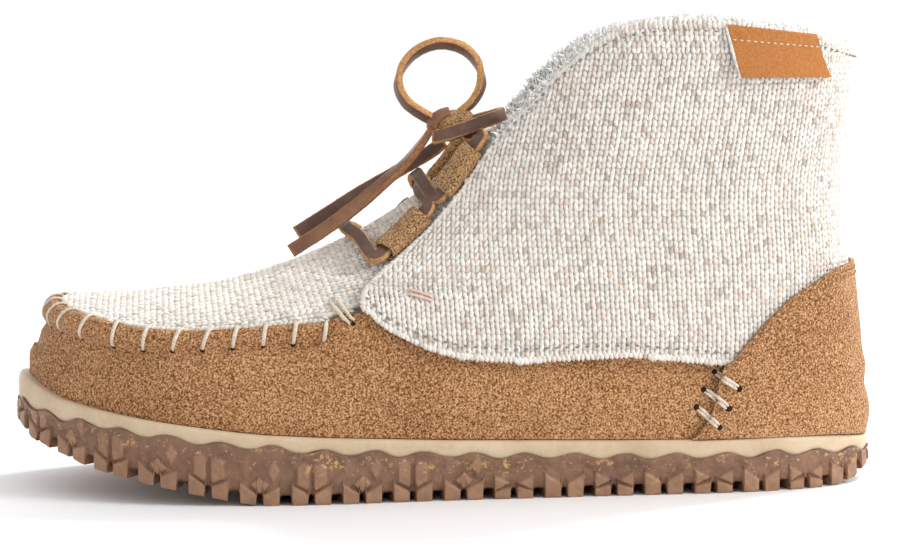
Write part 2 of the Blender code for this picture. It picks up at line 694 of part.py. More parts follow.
def collar_pile():
    """Fur lining at the collar, with locks along its rim."""
    columns = 60
    outer, inner = [], []
    start = throat_angle(THROAT_EDGE[-1][0])
    for k in range(60):
        angle = start + k * 0.02
        v = row_at(angle, collar_edge, 6.0)
        if last_point(angle, v).x >= PILE_START_X:
            start = angle
            break
    for i in range(columns + 1):
        s = i / columns
        side = min(s, 1.0 - s) * 2.0
        angle = start + (math.pi - start) * side
        top_x = last_point(angle, row_at(angle, collar_edge, 6.0)).x
        rise = mm(PILE_RISE) + PILE_FRONT_RISE * (1.0 - smooth(28.0, 60.0, top_x))
        lock = 0.9 * math.sin(i * 2.9) + 0.6 * math.sin(i * 5.3 + 1.0)
        depth = PILE_DEPTH * (0.3 + 0.7 * smooth(26.0, 52.0, top_x))
        levels = [-depth, -depth * 0.5, 0.0, rise * 0.65, rise + lock]
        out_column, in_column = [], []
        for j, level in enumerate(levels):
            v = row_at(angle, lambda x: collar_edge(x) + level, 5.5) - collar_drop(s)
            turned = angle if s <= 0.5 else 2 * math.pi - angle
            thin = 0.45 if j == len(levels) - 1 else 1.0
            swell = 0.35 * math.sin(i * 1.9 + j * 2.0)
            out_column.append(skin(turned, v, WALL_MM - 0.7 - 0.6 * (1.0 - thin)))
            in_column.append(skin(turned, v, WALL_MM - mm(PILE_WALL) * thin + swell * thin))
        outer.append(out_column)
        inner.append(in_column)
    return sheet_solid("collar_pile", outer, inner, (0.90, 0.88, 0.84), 1.0)


# Lace loops and lace

LOOPS = {
    # name: side, first ring, last ring, width across the tongue, height
    "loop_outer_low": (-1, 5.62, 6.5, 8.6, 5.8),
    "loop_outer_high": (-1, 6.93, 7.72, 8.4, 5.7),
    "loop_inner_low": (1, 5.62, 6.5, 8.6, 5.8),
    "loop_inner_high": (1, 6.93, 7.72, 8.4, 5.7),
}
LOOP_CLEAR = 0.5


def throat_frame(side, v):
    """Edge point, direction up the throat, outward normal and direction to the middle."""
    def edge(row):
        angle = throat_angle(row)
        return last_point(angle if side < 0 else -angle, row)

    angle = throat_angle(v)
    along = (edge(v + 0.05) - edge(v - 0.05)).normalized()
    outward = last_normal(angle if side < 0 else -angle, v)
    outward = (outward - along * outward.dot(along)).normalized()
    inward = outward.cross(along).normalized()
    if inward.y * side > 0:
        inward.negate()
    return edge(v), along, outward, inward


def loop_centre(name, share):
    side, first, last, width, height = LOOPS[name]
    v = first + (last - first) * share
    point, _, outward, inward = throat_frame(side, v)
    return point + inward * (LOOP_CLEAR + width / 2) + outward * (PLUG_MM + 0.6 + height / 2)


def lace_loop(name):
    side, first, last, width, height = LOOPS[name]
    around, steps = 12, 3
    columns = []
    outer_rings, inner_rings = [], []
    for k in range(steps + 1):
        v = first + (last - first) * k / steps
        _, _, outward, inward = throat_frame(side, v)
        centre = loop_centre(name, k / steps)
        outer_ring, inner_ring = [], []
        for j in range(around):
            a = 2 * math.pi * j / around
            c, s = math.cos(a), math.sin(a)
            squash = math.copysign(abs(c) ** 0.7, c), math.copysign(abs(s) ** 0.7, s)
            for ring, cut in ((outer_ring, 0.0), (inner_ring, mm(LOOP_WALL))):
                ring.append(centre + inward * (squash[0] * (width / 2 - cut))
                            + outward * (squash[1] * (height / 2 - cut)))
        outer_rings.append(outer_ring)
        inner_rings.append(inner_ring)
    for j in range(around):
        columns.append([ring[j] for ring in outer_rings] + [ring[j] for ring in reversed(inner_rings)])
    return closed_grid(name, columns, (0.50, 0.33, 0.17), 0.9)


def smooth_route(points, count):
    """Evenly spaced points on a smooth curve through the route's points."""
    points = [Vector(p) for p in points]
    ends = [points[0] * 2 - points[1]] + points + [points[-1] * 2 - points[-2]]
    dense = []
    for k in range(len(points) - 1):
        for j in range(12):
            dense.append(catmull(ends[k], ends[k + 1], ends[k + 2], ends[k + 3], j / 12))
    dense.append(points[-1])
    steps = [0.0]
    for a, b in zip(dense, dense[1:]):
        steps.append(steps[-1] + (b - a).length)
    marks = np.linspace(0.0, steps[-1], count)
    return [Vector([float(np.interp(m, steps, [p[axis] for p in dense])) for axis in range(3)]) for m in marks]


def strap(name, route, facing, count, flat=False):
    """Flat thong along a route. facing is the direction of its width at each route point or,
    with flat, the direction that its flat face looks in."""
    centres = smooth_route(route, count)
    marks = route_shares(route)
    units = [Vector(f).normalized() for f in facing]
    half_w, half_t, edge = mm(STRAP_WIDTH) / 2, mm(STRAP_THICKNESS) / 2, 0.5
    section = [(half_w - edge, half_t), (half_w, 0.0), (half_w - edge, -half_t),
               (edge - half_w, -half_t), (-half_w, 0.0), (edge - half_w, half_t)]
    columns = []
    for k, centre in enumerate(centres):
        tangent = (centres[min(k + 1, count - 1)] - centres[max(k - 1, 0)]).normalized()
        share = k / (count - 1)
        side = Vector([float(np.interp(share, marks, [u[axis] for u in units])) for axis in range(3)])
        if flat:
            side = side.cross(tangent)
        side = (side - tangent * side.dot(tangent)).normalized()
        up = tangent.cross(side)
        columns.append([centre + side * a + up * b for a, b in section])
    return closed_grid(name, columns, (0.22, 0.11, 0.06), 0.5, wrap=False, cap_ends=True)


def route_shares(route):
    steps = [0.0]
    for a, b in zip(route, route[1:]):
        steps.append(steps[-1] + (Vector(b) - Vector(a)).length)
    return [s / steps[-1] for s in steps]


# Where the lace crosses the tongue between the loops, and its bar below them
CROSS_OVER = [(-7.3, -8.5, 94.2), (-9.3, -0.5, 96.8), (-9.4, 8.5, 94.4)]
CROSS_UNDER = [(-8.6, -9.0, 91.9), (-7.6, 0.5, 94.7), (-6.6, 9.0, 93.3)]
BAR = [(-27.2, 13.0, 77.4), (-31.2, 4.0, 80.0), (-31.2, -4.0, 80.0), (-27.2, -13.0, 77.4)]
RUN_ENDS = [[(7.0, -6.4, 109.2), (8.0, -11.2, 108.6)], [(7.6, 9.6, 108.3), (6.8, 0.6, 109.8)]]


def lace_run():
    """The lace inside the loops, its bar below them and the crossing between them."""
    route, facing = [], []
    front = Vector((-0.6, 0.0, 0.8))

    def add(point, direction):
        route.append(Vector(point))
        facing.append(direction)

    def through(name, first, last):
        side, low, high = LOOPS[name][:3]
        for share in np.linspace(first, last, 4):
            add(loop_centre(name, share), throat_frame(side, low + (high - low) * share)[2])

    for point in RUN_ENDS[0]:
        add(point, front)
    through("loop_outer_high", 1.24, -0.16)
    for point in CROSS_OVER:
        add(point, front)
    through("loop_inner_low", 1.16, -0.26)
    for point in BAR:
        add(point, front)
    through("loop_outer_low", -0.26, 1.16)
    for point in CROSS_UNDER:
        add(point, front)
    through("loop_inner_high", -0.16, 1.16)
    for point in RUN_ENDS[1]:
        add(point, front)
    return strap("lace_run", route, facing, 64, flat=True)


CORDS = {
    # each point: x, y, z, then the direction of the thong's width
    "lace_loop_up": (22, [
        (4.2, -2.5, 115.9, 0.0, -0.9, 0.4), (8.4, -2.5, 119.6, -0.3, -0.9, 0.3), (11.0, -2.0, 125.0, -0.4, -0.9, 0.3),
        (9.8, -1.5, 131.4, 0.0, -0.8, 0.6), (5.2, -1.0, 136.0, 0.0, -0.75, 0.65), (-1.8, -0.5, 137.6, 0.0, -0.75, 0.65),
        (-8.6, -0.5, 135.4, 0.0, -0.75, 0.65), (-13.4, -1.0, 130.6, 0.0, -0.8, 0.6), (-15.0, -1.5, 124.8, 0.2, -0.85, 0.5),
        (-12.8, -2.0, 119.6, 0.2, -0.8, 0.6), (-8.6, -2.5, 116.2, 0.2, -0.75, 0.65), (-4.2, -3.0, 113.7, 0.2, -0.75, 0.65)]),
    "lace_loop_side": (18, [
        (-4.3, -7.9, 108.6, 0.2, 0.2, 0.95), (-1.0, -10.2, 109.6, 0.1, 0.2, 0.95), (4.5, -11.2, 111.4, -0.1, 0.2, 0.95),
        (10.0, -11.3, 113.4, -0.25, 0.2, 0.95), (14.6, -10.0, 114.9, -0.3, 0.2, 0.95), (17.2, -7.4, 115.8, -0.3, 0.1, 0.95),
        (16.0, -4.6, 115.4, -0.3, 0.1, 0.95), (11.8, -3.8, 114.2, -0.3, 0.1, 0.95), (8.0, -3.8, 113.2, -0.3, 0.1, 0.95)]),
    "lace_end_near": (18, [
        (-5.0, -4.2, 110.8, 0.2, 0.9, 0.1), (-8.6, -6.5, 106.0, 0.0, 0.95, 0.2), (-13.6, -8.4, 100.4, 0.0, 0.9, 0.35),
        (-20.2, -9.6, 94.6, -0.25, 0.8, 0.5), (-28.6, -10.2, 87.6, -0.5, 0.45, 0.7), (-38.4, -10.4, 80.4, -0.55, 0.2, 0.8),
        (-49.0, -10.2, 73.6, -0.5, 0.2, 0.85)]),
    "lace_end_far": (17, [
        (-0.6, 1.8, 106.9, -0.2, 0.3, 0.9), (-4.4, 2.6, 103.6, -0.2, 0.25, 0.9), (-10.4, 3.6, 100.0, -0.3, 0.2, 0.9),
        (-17.8, 4.2, 95.6, -0.4, 0.2, 0.9), (-27.4, 4.2, 90.2, -0.45, 0.2, 0.9), (-37.0, 3.6, 84.2, -0.45, 0.2, 0.9),
        (-47.0, 3.0, 78.0, -0.45, 0.2, 0.9)]),
}
KNOT_CENTRE = (1.2, -3.4, 111.6)
KNOT_RADII = (4.9, 4.3, 3.9)


def free_cord(name):
    count, rows = CORDS[name]
    return strap(name, [row[:3] for row in rows], [row[3:] for row in rows], count)


def lace_knot():
    bm = bmesh.new()
    bmesh.ops.create_icosphere(bm, subdivisions=2, radius=1.0)
    for vert in bm.verts:
        p = vert.co
        squared = Vector([math.copysign(abs(c) ** 0.85, c) for c in p])
        vert.co = (Vector(KNOT_CENTRE) + Vector([squared[k] * KNOT_RADII[k] for k in range(3)])) * (MM * UNIT)
    mesh = bpy.data.meshes.new("lace_knot")
    bm.to_mesh(mesh)
    bm.free()
    return make_object("lace_knot", mesh, (0.45, 0.25, 0.12), 0.85)


LABEL_TOP_X = 97.3         # middle of the label at the collar's edge and at its base
LABEL_BASE_X = 100.9


def on_shaft(x, height):
    """Angle and row on the outer side where the knit's outer face passes x at a height."""
    angle, shift = math.pi / 2, 0.0
    for _ in range(8):
        v = row_at(angle, lambda _: height, 6.0)
        angle = angle_at(v, x + shift)
        shift += x - skin(angle, v, KNIT_OUT).x
    return angle, v


def on_collar(x):
    """Angle and row of the shaft's own top edge where it passes x on the outer side."""
    low, high = 0.05, 0.5
    for _ in range(14):
        s = (low + high) / 2
        low, high = (s, high) if skin(*shaft_patch(s, 1.0), KNIT_OUT).x < x else (low, s)
    return shaft_patch((low + high) / 2, 1.0)


def label():
    """Folded twill tab, bare, hung over the collar's edge."""
    columns = 8
    half = mm(LABEL_WIDTH) / 2
    near, far = KNIT_OUT + GAP_MM + CHORD, KNIT_OUT + GAP_MM + CHORD + mm(LABEL_WALL)
    lift_low = GAP_MM + CHORD
    lift_high = lift_low + mm(LABEL_WALL)
    up = Vector((0.0, 0.0, 1.0))
    grid = []
    for i in range(columns + 1):
        across = half * (2.0 * i / columns - 1.0)
        top = on_collar(LABEL_TOP_X + across)
        base = on_shaft(LABEL_BASE_X + across, mm(SHAFT_HEIGHT - LABEL_DROP))
        marks = [base] + [tuple(base[k] + (top[k] - base[k]) * t for k in (0, 1)) for t in (0.35, 0.7)]
        column = [skin(*mark, far) for mark in marks] + [skin(*top, far)]
        column.append(skin(*top, far - 0.35) + up * lift_high)
        column.append(skin(*top, KNIT_IN + 0.5) + up * lift_high)
        column.append(skin(*top, KNIT_IN + 0.5) + up * lift_low)
        column.append(skin(*top, near) + up * lift_low)
        column += [skin(*mark, near) for mark in reversed(marks)]
        grid.append(column)
    return closed_grid("label", grid, (0.55, 0.22, 0.08), 0.7, wrap=False, cap_ends=True)


def build():
    for obj in list(bpy.data.objects):
        bpy.data.objects.remove(obj, do_unlink=True)
    outsole()
    midsole()
    insole()
    upper()
    plug()
    shaft()
    counter()
    collar_pile()
    for name in LOOPS:
        lace_loop(name)
    lace_run()
    for name in CORDS:
        free_cord(name)
    lace_knot()
    label()


BOOT = bpy.data.collections.new("ankle_boot")
bpy.context.scene.collection.children.link(BOOT)
build()
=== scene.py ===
"""Looks of the moccasin ankle boot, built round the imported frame.

Table lengths are in millimetres in the boot's own frame: toe at -X, heel at +X, the wearer's
left (outer) side at -Y, the floor at z = 0. The last's tables repeat those of the CAD model, so
that every fine piece sits on the same surface as the solid it stands for.
"""
import math

import bpy
import numpy as np
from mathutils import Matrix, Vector
from mathutils.bvhtree import BVHTree


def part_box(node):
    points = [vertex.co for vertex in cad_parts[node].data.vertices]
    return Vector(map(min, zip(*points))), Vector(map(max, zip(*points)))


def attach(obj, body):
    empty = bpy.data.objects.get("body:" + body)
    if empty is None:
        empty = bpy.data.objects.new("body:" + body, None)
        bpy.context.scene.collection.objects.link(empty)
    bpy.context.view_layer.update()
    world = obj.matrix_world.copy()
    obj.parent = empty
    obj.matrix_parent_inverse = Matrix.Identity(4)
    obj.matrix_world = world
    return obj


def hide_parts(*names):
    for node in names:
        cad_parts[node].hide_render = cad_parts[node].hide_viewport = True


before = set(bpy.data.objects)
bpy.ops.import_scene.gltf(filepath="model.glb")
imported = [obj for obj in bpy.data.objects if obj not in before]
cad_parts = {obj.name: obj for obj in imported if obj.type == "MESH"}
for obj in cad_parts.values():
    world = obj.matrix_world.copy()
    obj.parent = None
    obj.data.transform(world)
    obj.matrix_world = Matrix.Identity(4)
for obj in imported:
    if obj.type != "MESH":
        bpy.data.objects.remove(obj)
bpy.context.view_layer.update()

MM = 0.001
BODY = "root"

# Walls and gaps, millimetres
WALL = 2.0
PLUG_WALL = 2.2
KNIT_WALL = 2.6
COUNTER_WALL = 1.2
GAP = 0.3
KNIT_IN = WALL + GAP
KNIT_OUT = KNIT_IN + KNIT_WALL
COUNTER_LOW = WALL + GAP + 0.3
COUNTER_HIGH = KNIT_OUT + GAP + 0.15
LAP = 8.0
LUG_DEPTH = 2.1
TREAD_DEPTH = 3.0
FLANGE = 10.0
FLANGE_WALL = 1.8
RIDGE_PROUD = 2.1

# Camera: where it stands in the boot's frame, millimetres, and its lens
CAMERA_AZIMUTH = -4.0
CAMERA_PITCH = 6.0
CAMERA_DISTANCE = 1100.0
CAMERA_HEIGHT = 180.0
CAMERA_AIM_X = 1.3
LENS = 140.5
SENSOR = 36.0


# Camera

def add_camera():
    turn = math.radians(CAMERA_AZIMUTH)
    back = Vector((math.sin(turn), -math.cos(turn), 0.0))
    place = Vector((CAMERA_AIM_X, 0.0, CAMERA_HEIGHT)) + back * CAMERA_DISTANCE
    data = bpy.data.cameras.new("camera")
    data.lens = LENS
    data.sensor_width = SENSOR
    data.sensor_fit = "HORIZONTAL"
    data.clip_start = 0.05
    data.clip_end = 60.0
    camera = bpy.data.objects.new("camera", data)
    camera.location = place * MM
    camera.rotation_euler = (math.radians(90.0 - CAMERA_PITCH), 0.0, turn)
    bpy.context.scene.collection.objects.link(camera)
    bpy.context.scene.camera = camera


add_camera()

# The last: tables

HALF = 135.0
TOE_Y = 4.0
OUTER_STRETCH = 49.0 / 49.7
INNER_STRETCH = 49.0 / 48.2
OUTLINE_OUTER = [22.0, 44.6, 49.7, 43.5, 38.2, 33.4, 20.0]
OUTLINE_INNER = [25.5, 43.5, 48.2, 38.5, 33.5, 32.0, 19.5]
SOLE_ROWS = np.array([
    # x, tread, wave (rubber's top edge), band (cream band's top edge)
    (-135.0, 21.0, 27.5, 35.5),
    (-130.0, 16.5, 26.3, 33.0),
    (-122.0, 13.9, 24.3, 30.0),
    (-110.0, 9.9, 23.4, 27.9),
    (-96.0, 7.0, 21.4, 25.9),
    (-80.0, 3.7, 19.7, 23.9),
    (-66.0, 1.1, 18.2, 22.2),
    (-58.0, 0.0, 17.5, 21.4),
    (-40.0, 0.0, 16.0, 20.3),
    (0.0, 0.0, 13.8, 18.3),
    (50.0, 0.0, 12.1, 17.0),
    (80.0, 0.0, 11.6, 16.6),
    (105.0, 0.0, 11.6, 16.8),
    (119.0, 0.0, 11.3, 16.0),
    (128.0, 1.7, 10.7, 15.0),
    (135.0, 6.2, 9.9, 13.8),
])
WALL_ROWS = [
    # toe_x, heel_x, inset in front, inset behind, heights above the band at the nine turns
    (-129.0, 130.3, 5.0, 5.0, [0.3] * 9),
    (-128.6, 131.0, 4.3, 4.5, [9.0] * 9),
    (-126.3, 126.6, 5.4, 7.6, [11.5, 15.5, 18.0, 22.3, 21.0, 21.0, 20.5, 21.0, 22.0]),
]
INSET_TURN = (-10.0, 90.0)
RINGS = [
    # front_x, back_x, front_y, heights, outer half widths
    (-120.6, 125.2, 3.5, [56.0, 54.0, 51.0, 53.8, 57.0, 52.5, 50.0, 48.5, 48.0],
     [25.0, 38.0, 40.6, 37.0, 33.5, 28.0, 17.0]),
    (-100.0, 124.4, 3.0, [58.0, 57.2, 55.6, 58.8, 58.0, 56.5, 55.5, 55.0, 55.0],
     [17.0, 34.0, 38.2, 36.0, 33.0, 27.5, 16.5]),
    (-68.0, 123.4, 2.2, [61.8, 61.7, 62.2, 63.2, 65.5, 65.5, 64.5, 64.0, 64.0],
     [13.0, 26.5, 29.5, 32.5, 31.7, 27.0, 16.0]),
    (-35.0, 122.3, 1.0, [73.3, 73.0, 73.2, 76.0, 77.0, 76.0, 75.0, 74.0, 74.0],
     [9.0, 18.0, 25.5, 30.0, 30.2, 26.0, 15.5]),
    (-9.0, 120.6, 0.0, [88.5, 88.5, 89.5, 91.0, 92.0, 92.5, 92.5, 92.5, 92.5],
     [9.5, 18.0, 25.5, 30.0, 30.0, 25.0, 14.5]),
    (8.5, 122.4, 0.0, [105.0, 106.0, 108.0, 110.0, 110.5, 110.5, 110.0, 110.0, 110.0],
     [12.0, 21.5, 28.5, 31.5, 30.5, 24.8, 14.0]),
    (19.5, 123.4, 0.0, [122.5, 123.0, 124.0, 125.0, 125.5, 125.5, 125.5, 125.5, 125.5],
     [12.5, 23.0, 30.0, 32.5, 31.2, 25.2, 14.0]),
    (27.0, 124.2, 0.0, [137.0, 137.5, 138.0, 139.0, 139.0, 139.0, 139.0, 139.0, 139.0],
     [13.0, 23.8, 30.8, 33.4, 32.0, 26.0, 14.5]),
    (30.0, 125.2, 0.0, [152.0] * 9,
     [13.0, 23.8, 31.0, 33.6, 32.2, 26.2, 14.6]),
]
INNER_SHARE = [1.08, 1.0, 0.97, 0.93, 0.94, 0.98, 1.0]
RIDGE_ROW = 3.0
RIDGE_END_X = -41.0
KNIT_EDGE = np.array([
    (-28.8, 60.3), (-26.2, 58.7), (-21.8, 54.4), (-15.3, 50.7), (-7.6, 47.0), (0.2, 44.7),
    (8.0, 43.4), (19.8, 42.4), (34.0, 42.7), (45.0, 42.8), (55.0, 43.0), (64.3, 42.0),
    (74.6, 40.9), (85.0, 39.7), (100.0, 38.8), (131.0, 38.4)])
THROAT_EDGE = np.array([
    (3.6, -28.5), (4.3, -27.3), (5.0, -25.2), (5.35, -20.8), (5.6, -16.2), (6.1, -9.2),
    (6.5, -3.3), (7.0, 4.0), (7.45, 9.8), (8.0, 17.0)])
COLLAR_EDGE = np.array([
    (11.6, 104.8), (13.7, 107.4), (19.1, 112.8), (24.4, 118.2), (29.7, 124.8), (35.6, 130.6),
    (41.7, 135.9), (48.4, 139.9), (55.7, 142.5), (65.4, 144.1), (73.0, 144.3), (81.6, 144.1),
    (97.0, 142.8), (111.5, 140.7), (126.8, 136.6), (131.0, 135.6)])
INNER_DROP = 0.23
TONGUE_EDGE = np.array([
    (3.1, -38.5), (3.6, -34.0), (4.0, -29.0), (5.0, -17.0), (6.0, -5.0), (7.0, 7.0), (8.0, 16.0),
    (8.25, 17.0)])
TONGUE_TOP = 8.25
COUNTER_FOOT_X = 73.4
COUNTER_EDGE = np.array([
    (83.7, 39.6), (86.2, 40.6), (88.6, 43.8), (93.3, 49.3), (98.4, 54.4), (104.8, 60.0), (111.8, 63.9),
    (118.8, 67.4), (124.8, 69.5), (131.0, 70.6)])
COUNTER_RAMP = (9.5, 1.6)
RIDGE_PROFILE = np.array([
    # distance below the seam's top edge, share of the roll's height
    (0.0, 0.35), (0.6, 0.72), (1.4, 0.95), (2.4, 1.02), (3.6, 0.98), (4.8, 0.68), (5.8, 0.2), (6.6, -0.14),
    (7.4, -0.50), (8.6, -0.28), (10.0, 0.0),
])
RIDGE_FADE = (-37.0, -27.0)
TURNS = 16


def smooth(low, high, value):
    t = np.clip((np.asarray(value, float) - low) / (high - low), 0.0, 1.0)
    return t * t * (3.0 - 2.0 * t)


def catmull(p0, p1, p2, p3, t):
    return 0.5 * (2 * p1 + (p2 - p0) * t + (2 * p0 - 5 * p1 + 4 * p2 - p3) * t * t
                  + (3 * p1 - p0 - 3 * p2 + p3) * t ** 3)


def unit(vectors):
    length = np.linalg.norm(vectors, axis=-1, keepdims=True)
    return vectors / np.maximum(length, 1e-9)


def run_along(points):
    """Distance along a line at each of its points."""
    return np.concatenate([[0.0], np.cumsum(np.linalg.norm(np.diff(points, axis=0), axis=1))])


def sample(marks, steps, values):
    """Rows of values that are known at steps along a line, read at marks."""
    return np.stack([np.interp(marks, steps, column) for column in values.T], -1)


def ring_values(values, angle):
    """Smooth values round rings from TURNS equal stations. values has one row per angle."""
    s = (angle / (2 * math.pi) * TURNS) % TURNS
    k = np.floor(s).astype(int)
    rows = np.arange(len(angle))
    picked = [values[rows, (k + j - 1) % TURNS] for j in range(4)]
    return catmull(*picked, s - k)


OUTLINE_Y = np.array([TOE_Y] + [-w * OUTER_STRETCH for w in OUTLINE_OUTER] + [0.0]
                     + [w * INNER_STRETCH for w in reversed(OUTLINE_INNER)])


def outline(angle):
    """Points of the rubber's outline. Angle 0 is at the toe and turns over the outer side."""
    angle = np.asarray(angle, float)
    y = ring_values(np.tile(OUTLINE_Y, (len(angle), 1)), angle)
    return np.stack([-HALF * np.cos(angle), y], 1)


def outline_frames(count=2880):
    """Dense outline points and their inward unit normals."""
    angle = np.arange(count) * 2 * math.pi / count
    tangent = unit(outline(angle + 1e-3) - outline(angle - 1e-3))
    return outline(angle), np.stack([-tangent[:, 1], tangent[:, 0]], 1)


DENSE_OUTLINE, DENSE_INWARD = outline_frames()


def even_outline(per_side):
    """Outline points and inward normals, equally spaced from toe to heel on each side."""
    half = len(DENSE_OUTLINE) // 2
    points, inward = [], []
    for side in (slice(0, half + 1), slice(half, None)):
        p, n = DENSE_OUTLINE[side], DENSE_INWARD[side]
        if side.stop is None:
            p, n = np.vstack([p, DENSE_OUTLINE[:1]]), np.vstack([n, DENSE_INWARD[:1]])
        steps = run_along(p)
        marks = np.linspace(0.0, steps[-1], per_side + 1)[:-1]
        points.append(sample(marks, steps, p))
        inward.append(sample(marks, steps, n))
    return np.vstack(points), unit(np.vstack(inward))


def sole_row(x, column):
    return np.interp(x, SOLE_ROWS[:, 0], SOLE_ROWS[:, column])


def band_top(x):
    return sole_row(x, 3)


def wall_ring(toe_x, heel_x, inset_front, inset_back, heights):
    blend = smooth(*INSET_TURN, DENSE_OUTLINE[:, 0] + DENSE_INWARD[:, 0] * inset_front)
    inset = inset_front + (inset_back - inset_front) * blend
    ring = DENSE_OUTLINE + DENSE_INWARD * inset[:, None]
    half = len(ring) // 2
    toe, heel = ring[0], ring[half]
    share = (1 - np.cos(math.pi * np.arange(1, 8) / 8)) / 2
    sides = []
    for part in (ring[:half + 1], np.vstack([ring[half:], ring[:1]])):
        part = part[np.argsort(part[:, 0])]
        sides.append(np.interp(share, (part[:, 0] - toe[0]) / (heel[0] - toe[0]), part[:, 1]))
    y = np.concatenate([[TOE_Y], sides[0], [0.0], sides[1][::-1]])
    x = toe_x + (heel_x - toe_x) * (1 - np.cos(math.pi * np.arange(9) / 8)) / 2
    z = band_top(x) + np.array(heights)
    return np.concatenate([[toe_x, heel_x], y, z, z[7:0:-1]])


def upper_ring(front_x, back_x, front_y, heights, widths):
    outer = [-w * OUTER_STRETCH for w in widths]
    inner = [w * share * INNER_STRETCH for w, share in zip(reversed(widths), reversed(INNER_SHARE))]
    return np.concatenate([[front_x, back_x], [front_y] + outer + [0.0] + inner, heights, heights[7:0:-1]])


LAST = np.array([wall_ring(*row) for row in WALL_ROWS] + [upper_ring(*row) for row in RINGS])
TOP_ROW = len(LAST) - 1


def blended_rows(v):
    v = np.clip(np.asarray(v, float), 0.0, TOP_ROW - 1e-6)
    k = np.floor(v).astype(int)
    picked = [LAST[np.clip(k + j - 1, 0, TOP_ROW)] for j in range(4)]
    return catmull(*picked, (v - k)[:, None])


def last(angle, v):
    """Points of the last: angle round the foot, v from the sole's edge to above the collar."""
    angle, v = np.broadcast_arrays(np.asarray(angle, float), np.asarray(v, float))
    flat_a, flat_v = angle.ravel(), v.ravel()
    row = blended_rows(flat_v)
    x = row[:, 0] + (row[:, 1] - row[:, 0]) * (1 - np.cos(flat_a)) / 2
    points = np.stack([x, ring_values(row[:, 2:18], flat_a), ring_values(row[:, 18:34], flat_a)], 1)
    return points.reshape(angle.shape + (3,))


def normals(angle, v):
    along = last(angle + 0.01, v) - last(angle - 0.01, v)
    v = np.asarray(v)
    up = last(angle, np.minimum(v + 0.4, TOP_ROW)) - last(angle, np.maximum(v - 0.4, 0.0))
    return -unit(np.cross(up, along))


def skin(angle, v, offset):
    angle, v = np.broadcast_arrays(np.asarray(angle, float), np.asarray(v, float))
    return last(angle, v) + normals(angle, v) * np.asarray(offset, float)[..., None]


def angle_at(v, x):
    """Angles on the outer side where rings v pass x."""
    row = blended_rows(np.atleast_1d(v))
    share = (np.atleast_1d(x) - row[:, 0]) / (row[:, 1] - row[:, 0])
    return np.arccos(np.clip(1.0 - 2.0 * share, -1.0, 1.0))


def table(rows, value):
    return np.interp(value, rows[:, 0], rows[:, 1])


def rows_at(angles, height, low=0.6, high=None, steps=260):
    """For each angle, the row where the knit's outer face reaches height(x)."""
    high = TOP_ROW if high is None else high
    marks = np.linspace(low, high, steps)
    points = skin(np.asarray(angles)[:, None], marks[None, :], KNIT_OUT)
    above = points[..., 2] - height(points[..., 0])
    found = []
    for line in above:
        k = int(np.argmax(line > 0)) if (line > 0).any() else steps - 1
        if k == 0:
            found.append(low)
            continue
        share = line[k - 1] / (line[k - 1] - line[k]) if line[k] > 0 else 1.0
        found.append(marks[k - 1] + (marks[k] - marks[k - 1]) * share)
    return np.array(found)


def knit_edge(x):
    return table(KNIT_EDGE, x)


def collar_edge(x):
    return table(COLLAR_EDGE, x)


def counter_edge(x):
    return table(COUNTER_EDGE, x)


def throat_angle(v):
    return angle_at(v, table(THROAT_EDGE, np.atleast_1d(v)))


def tongue_angle(v):
    return angle_at(v, table(TONGUE_EDGE, np.atleast_1d(v)))


# Meshes

def mesh_from(name, points, polys):
    """Mesh from an array of points in millimetres and a list of arrays of triangles or quads."""
    mesh = bpy.data.meshes.new(name)
    points = np.asarray(points, float).reshape(-1, 3) * MM
    polys = [np.asarray(p, int) for p in polys if len(p)]
    totals = np.concatenate([np.full(len(p), p.shape[1]) for p in polys])
    loops = np.concatenate([p.ravel() for p in polys])
    starts = np.concatenate([[0], np.cumsum(totals)[:-1]])
    mesh.vertices.add(len(points))
    mesh.vertices.foreach_set("co", points.ravel())
    mesh.loops.add(len(loops))
    mesh.loops.foreach_set("vertex_index", loops)
    mesh.polygons.add(len(totals))
    mesh.polygons.foreach_set("loop_start", starts)
    mesh.polygons.foreach_set("loop_total", totals)
    mesh.update(calc_edges=True)
    mesh.validate()
    return mesh


def paint(mesh, name, values):
    """Point attribute: one number, or one colour of three, for each vertex."""
    values = np.asarray(values, float)
    if values.ndim == 1:
        layer = mesh.attributes.new(name, "FLOAT", "POINT")
        layer.data.foreach_set("value", values)
        return
    layer = mesh.attributes.new(name, "FLOAT_COLOR", "POINT")
    layer.data.foreach_set("color", np.hstack([values, np.ones((len(values), 1))]).ravel())


def piece(name, mesh, materials, slot, replaces=(), sharp=None):
    """Object of a mesh, with its materials, riding on the boot's one body."""
    obj = bpy.data.objects.new(name, mesh)
    bpy.context.scene.collection.objects.link(obj)
    for material in materials if isinstance(materials, list) else [materials]:
        mesh.materials.append(material)
    mesh.shade_smooth()
    if sharp:
        mesh.set_sharp_from_angle(angle=math.radians(sharp))
    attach(obj, BODY)
    if replaces:
        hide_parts(*replaces)
    return obj


def grid_quads(columns, rows, wrap=False, start=0, flip=False):
    """Quads of a grid of points stored column by column."""
    i = np.arange(columns if wrap else columns - 1)
    j = np.arange(rows - 1)
    a = (i[:, None] * rows + j[None, :]).ravel()
    b = (((i + 1) % columns)[:, None] * rows + j[None, :]).ravel()
    quads = np.stack([a, b, b + 1, a + 1], 1) + start
    return quads[:, ::-1] if flip else quads


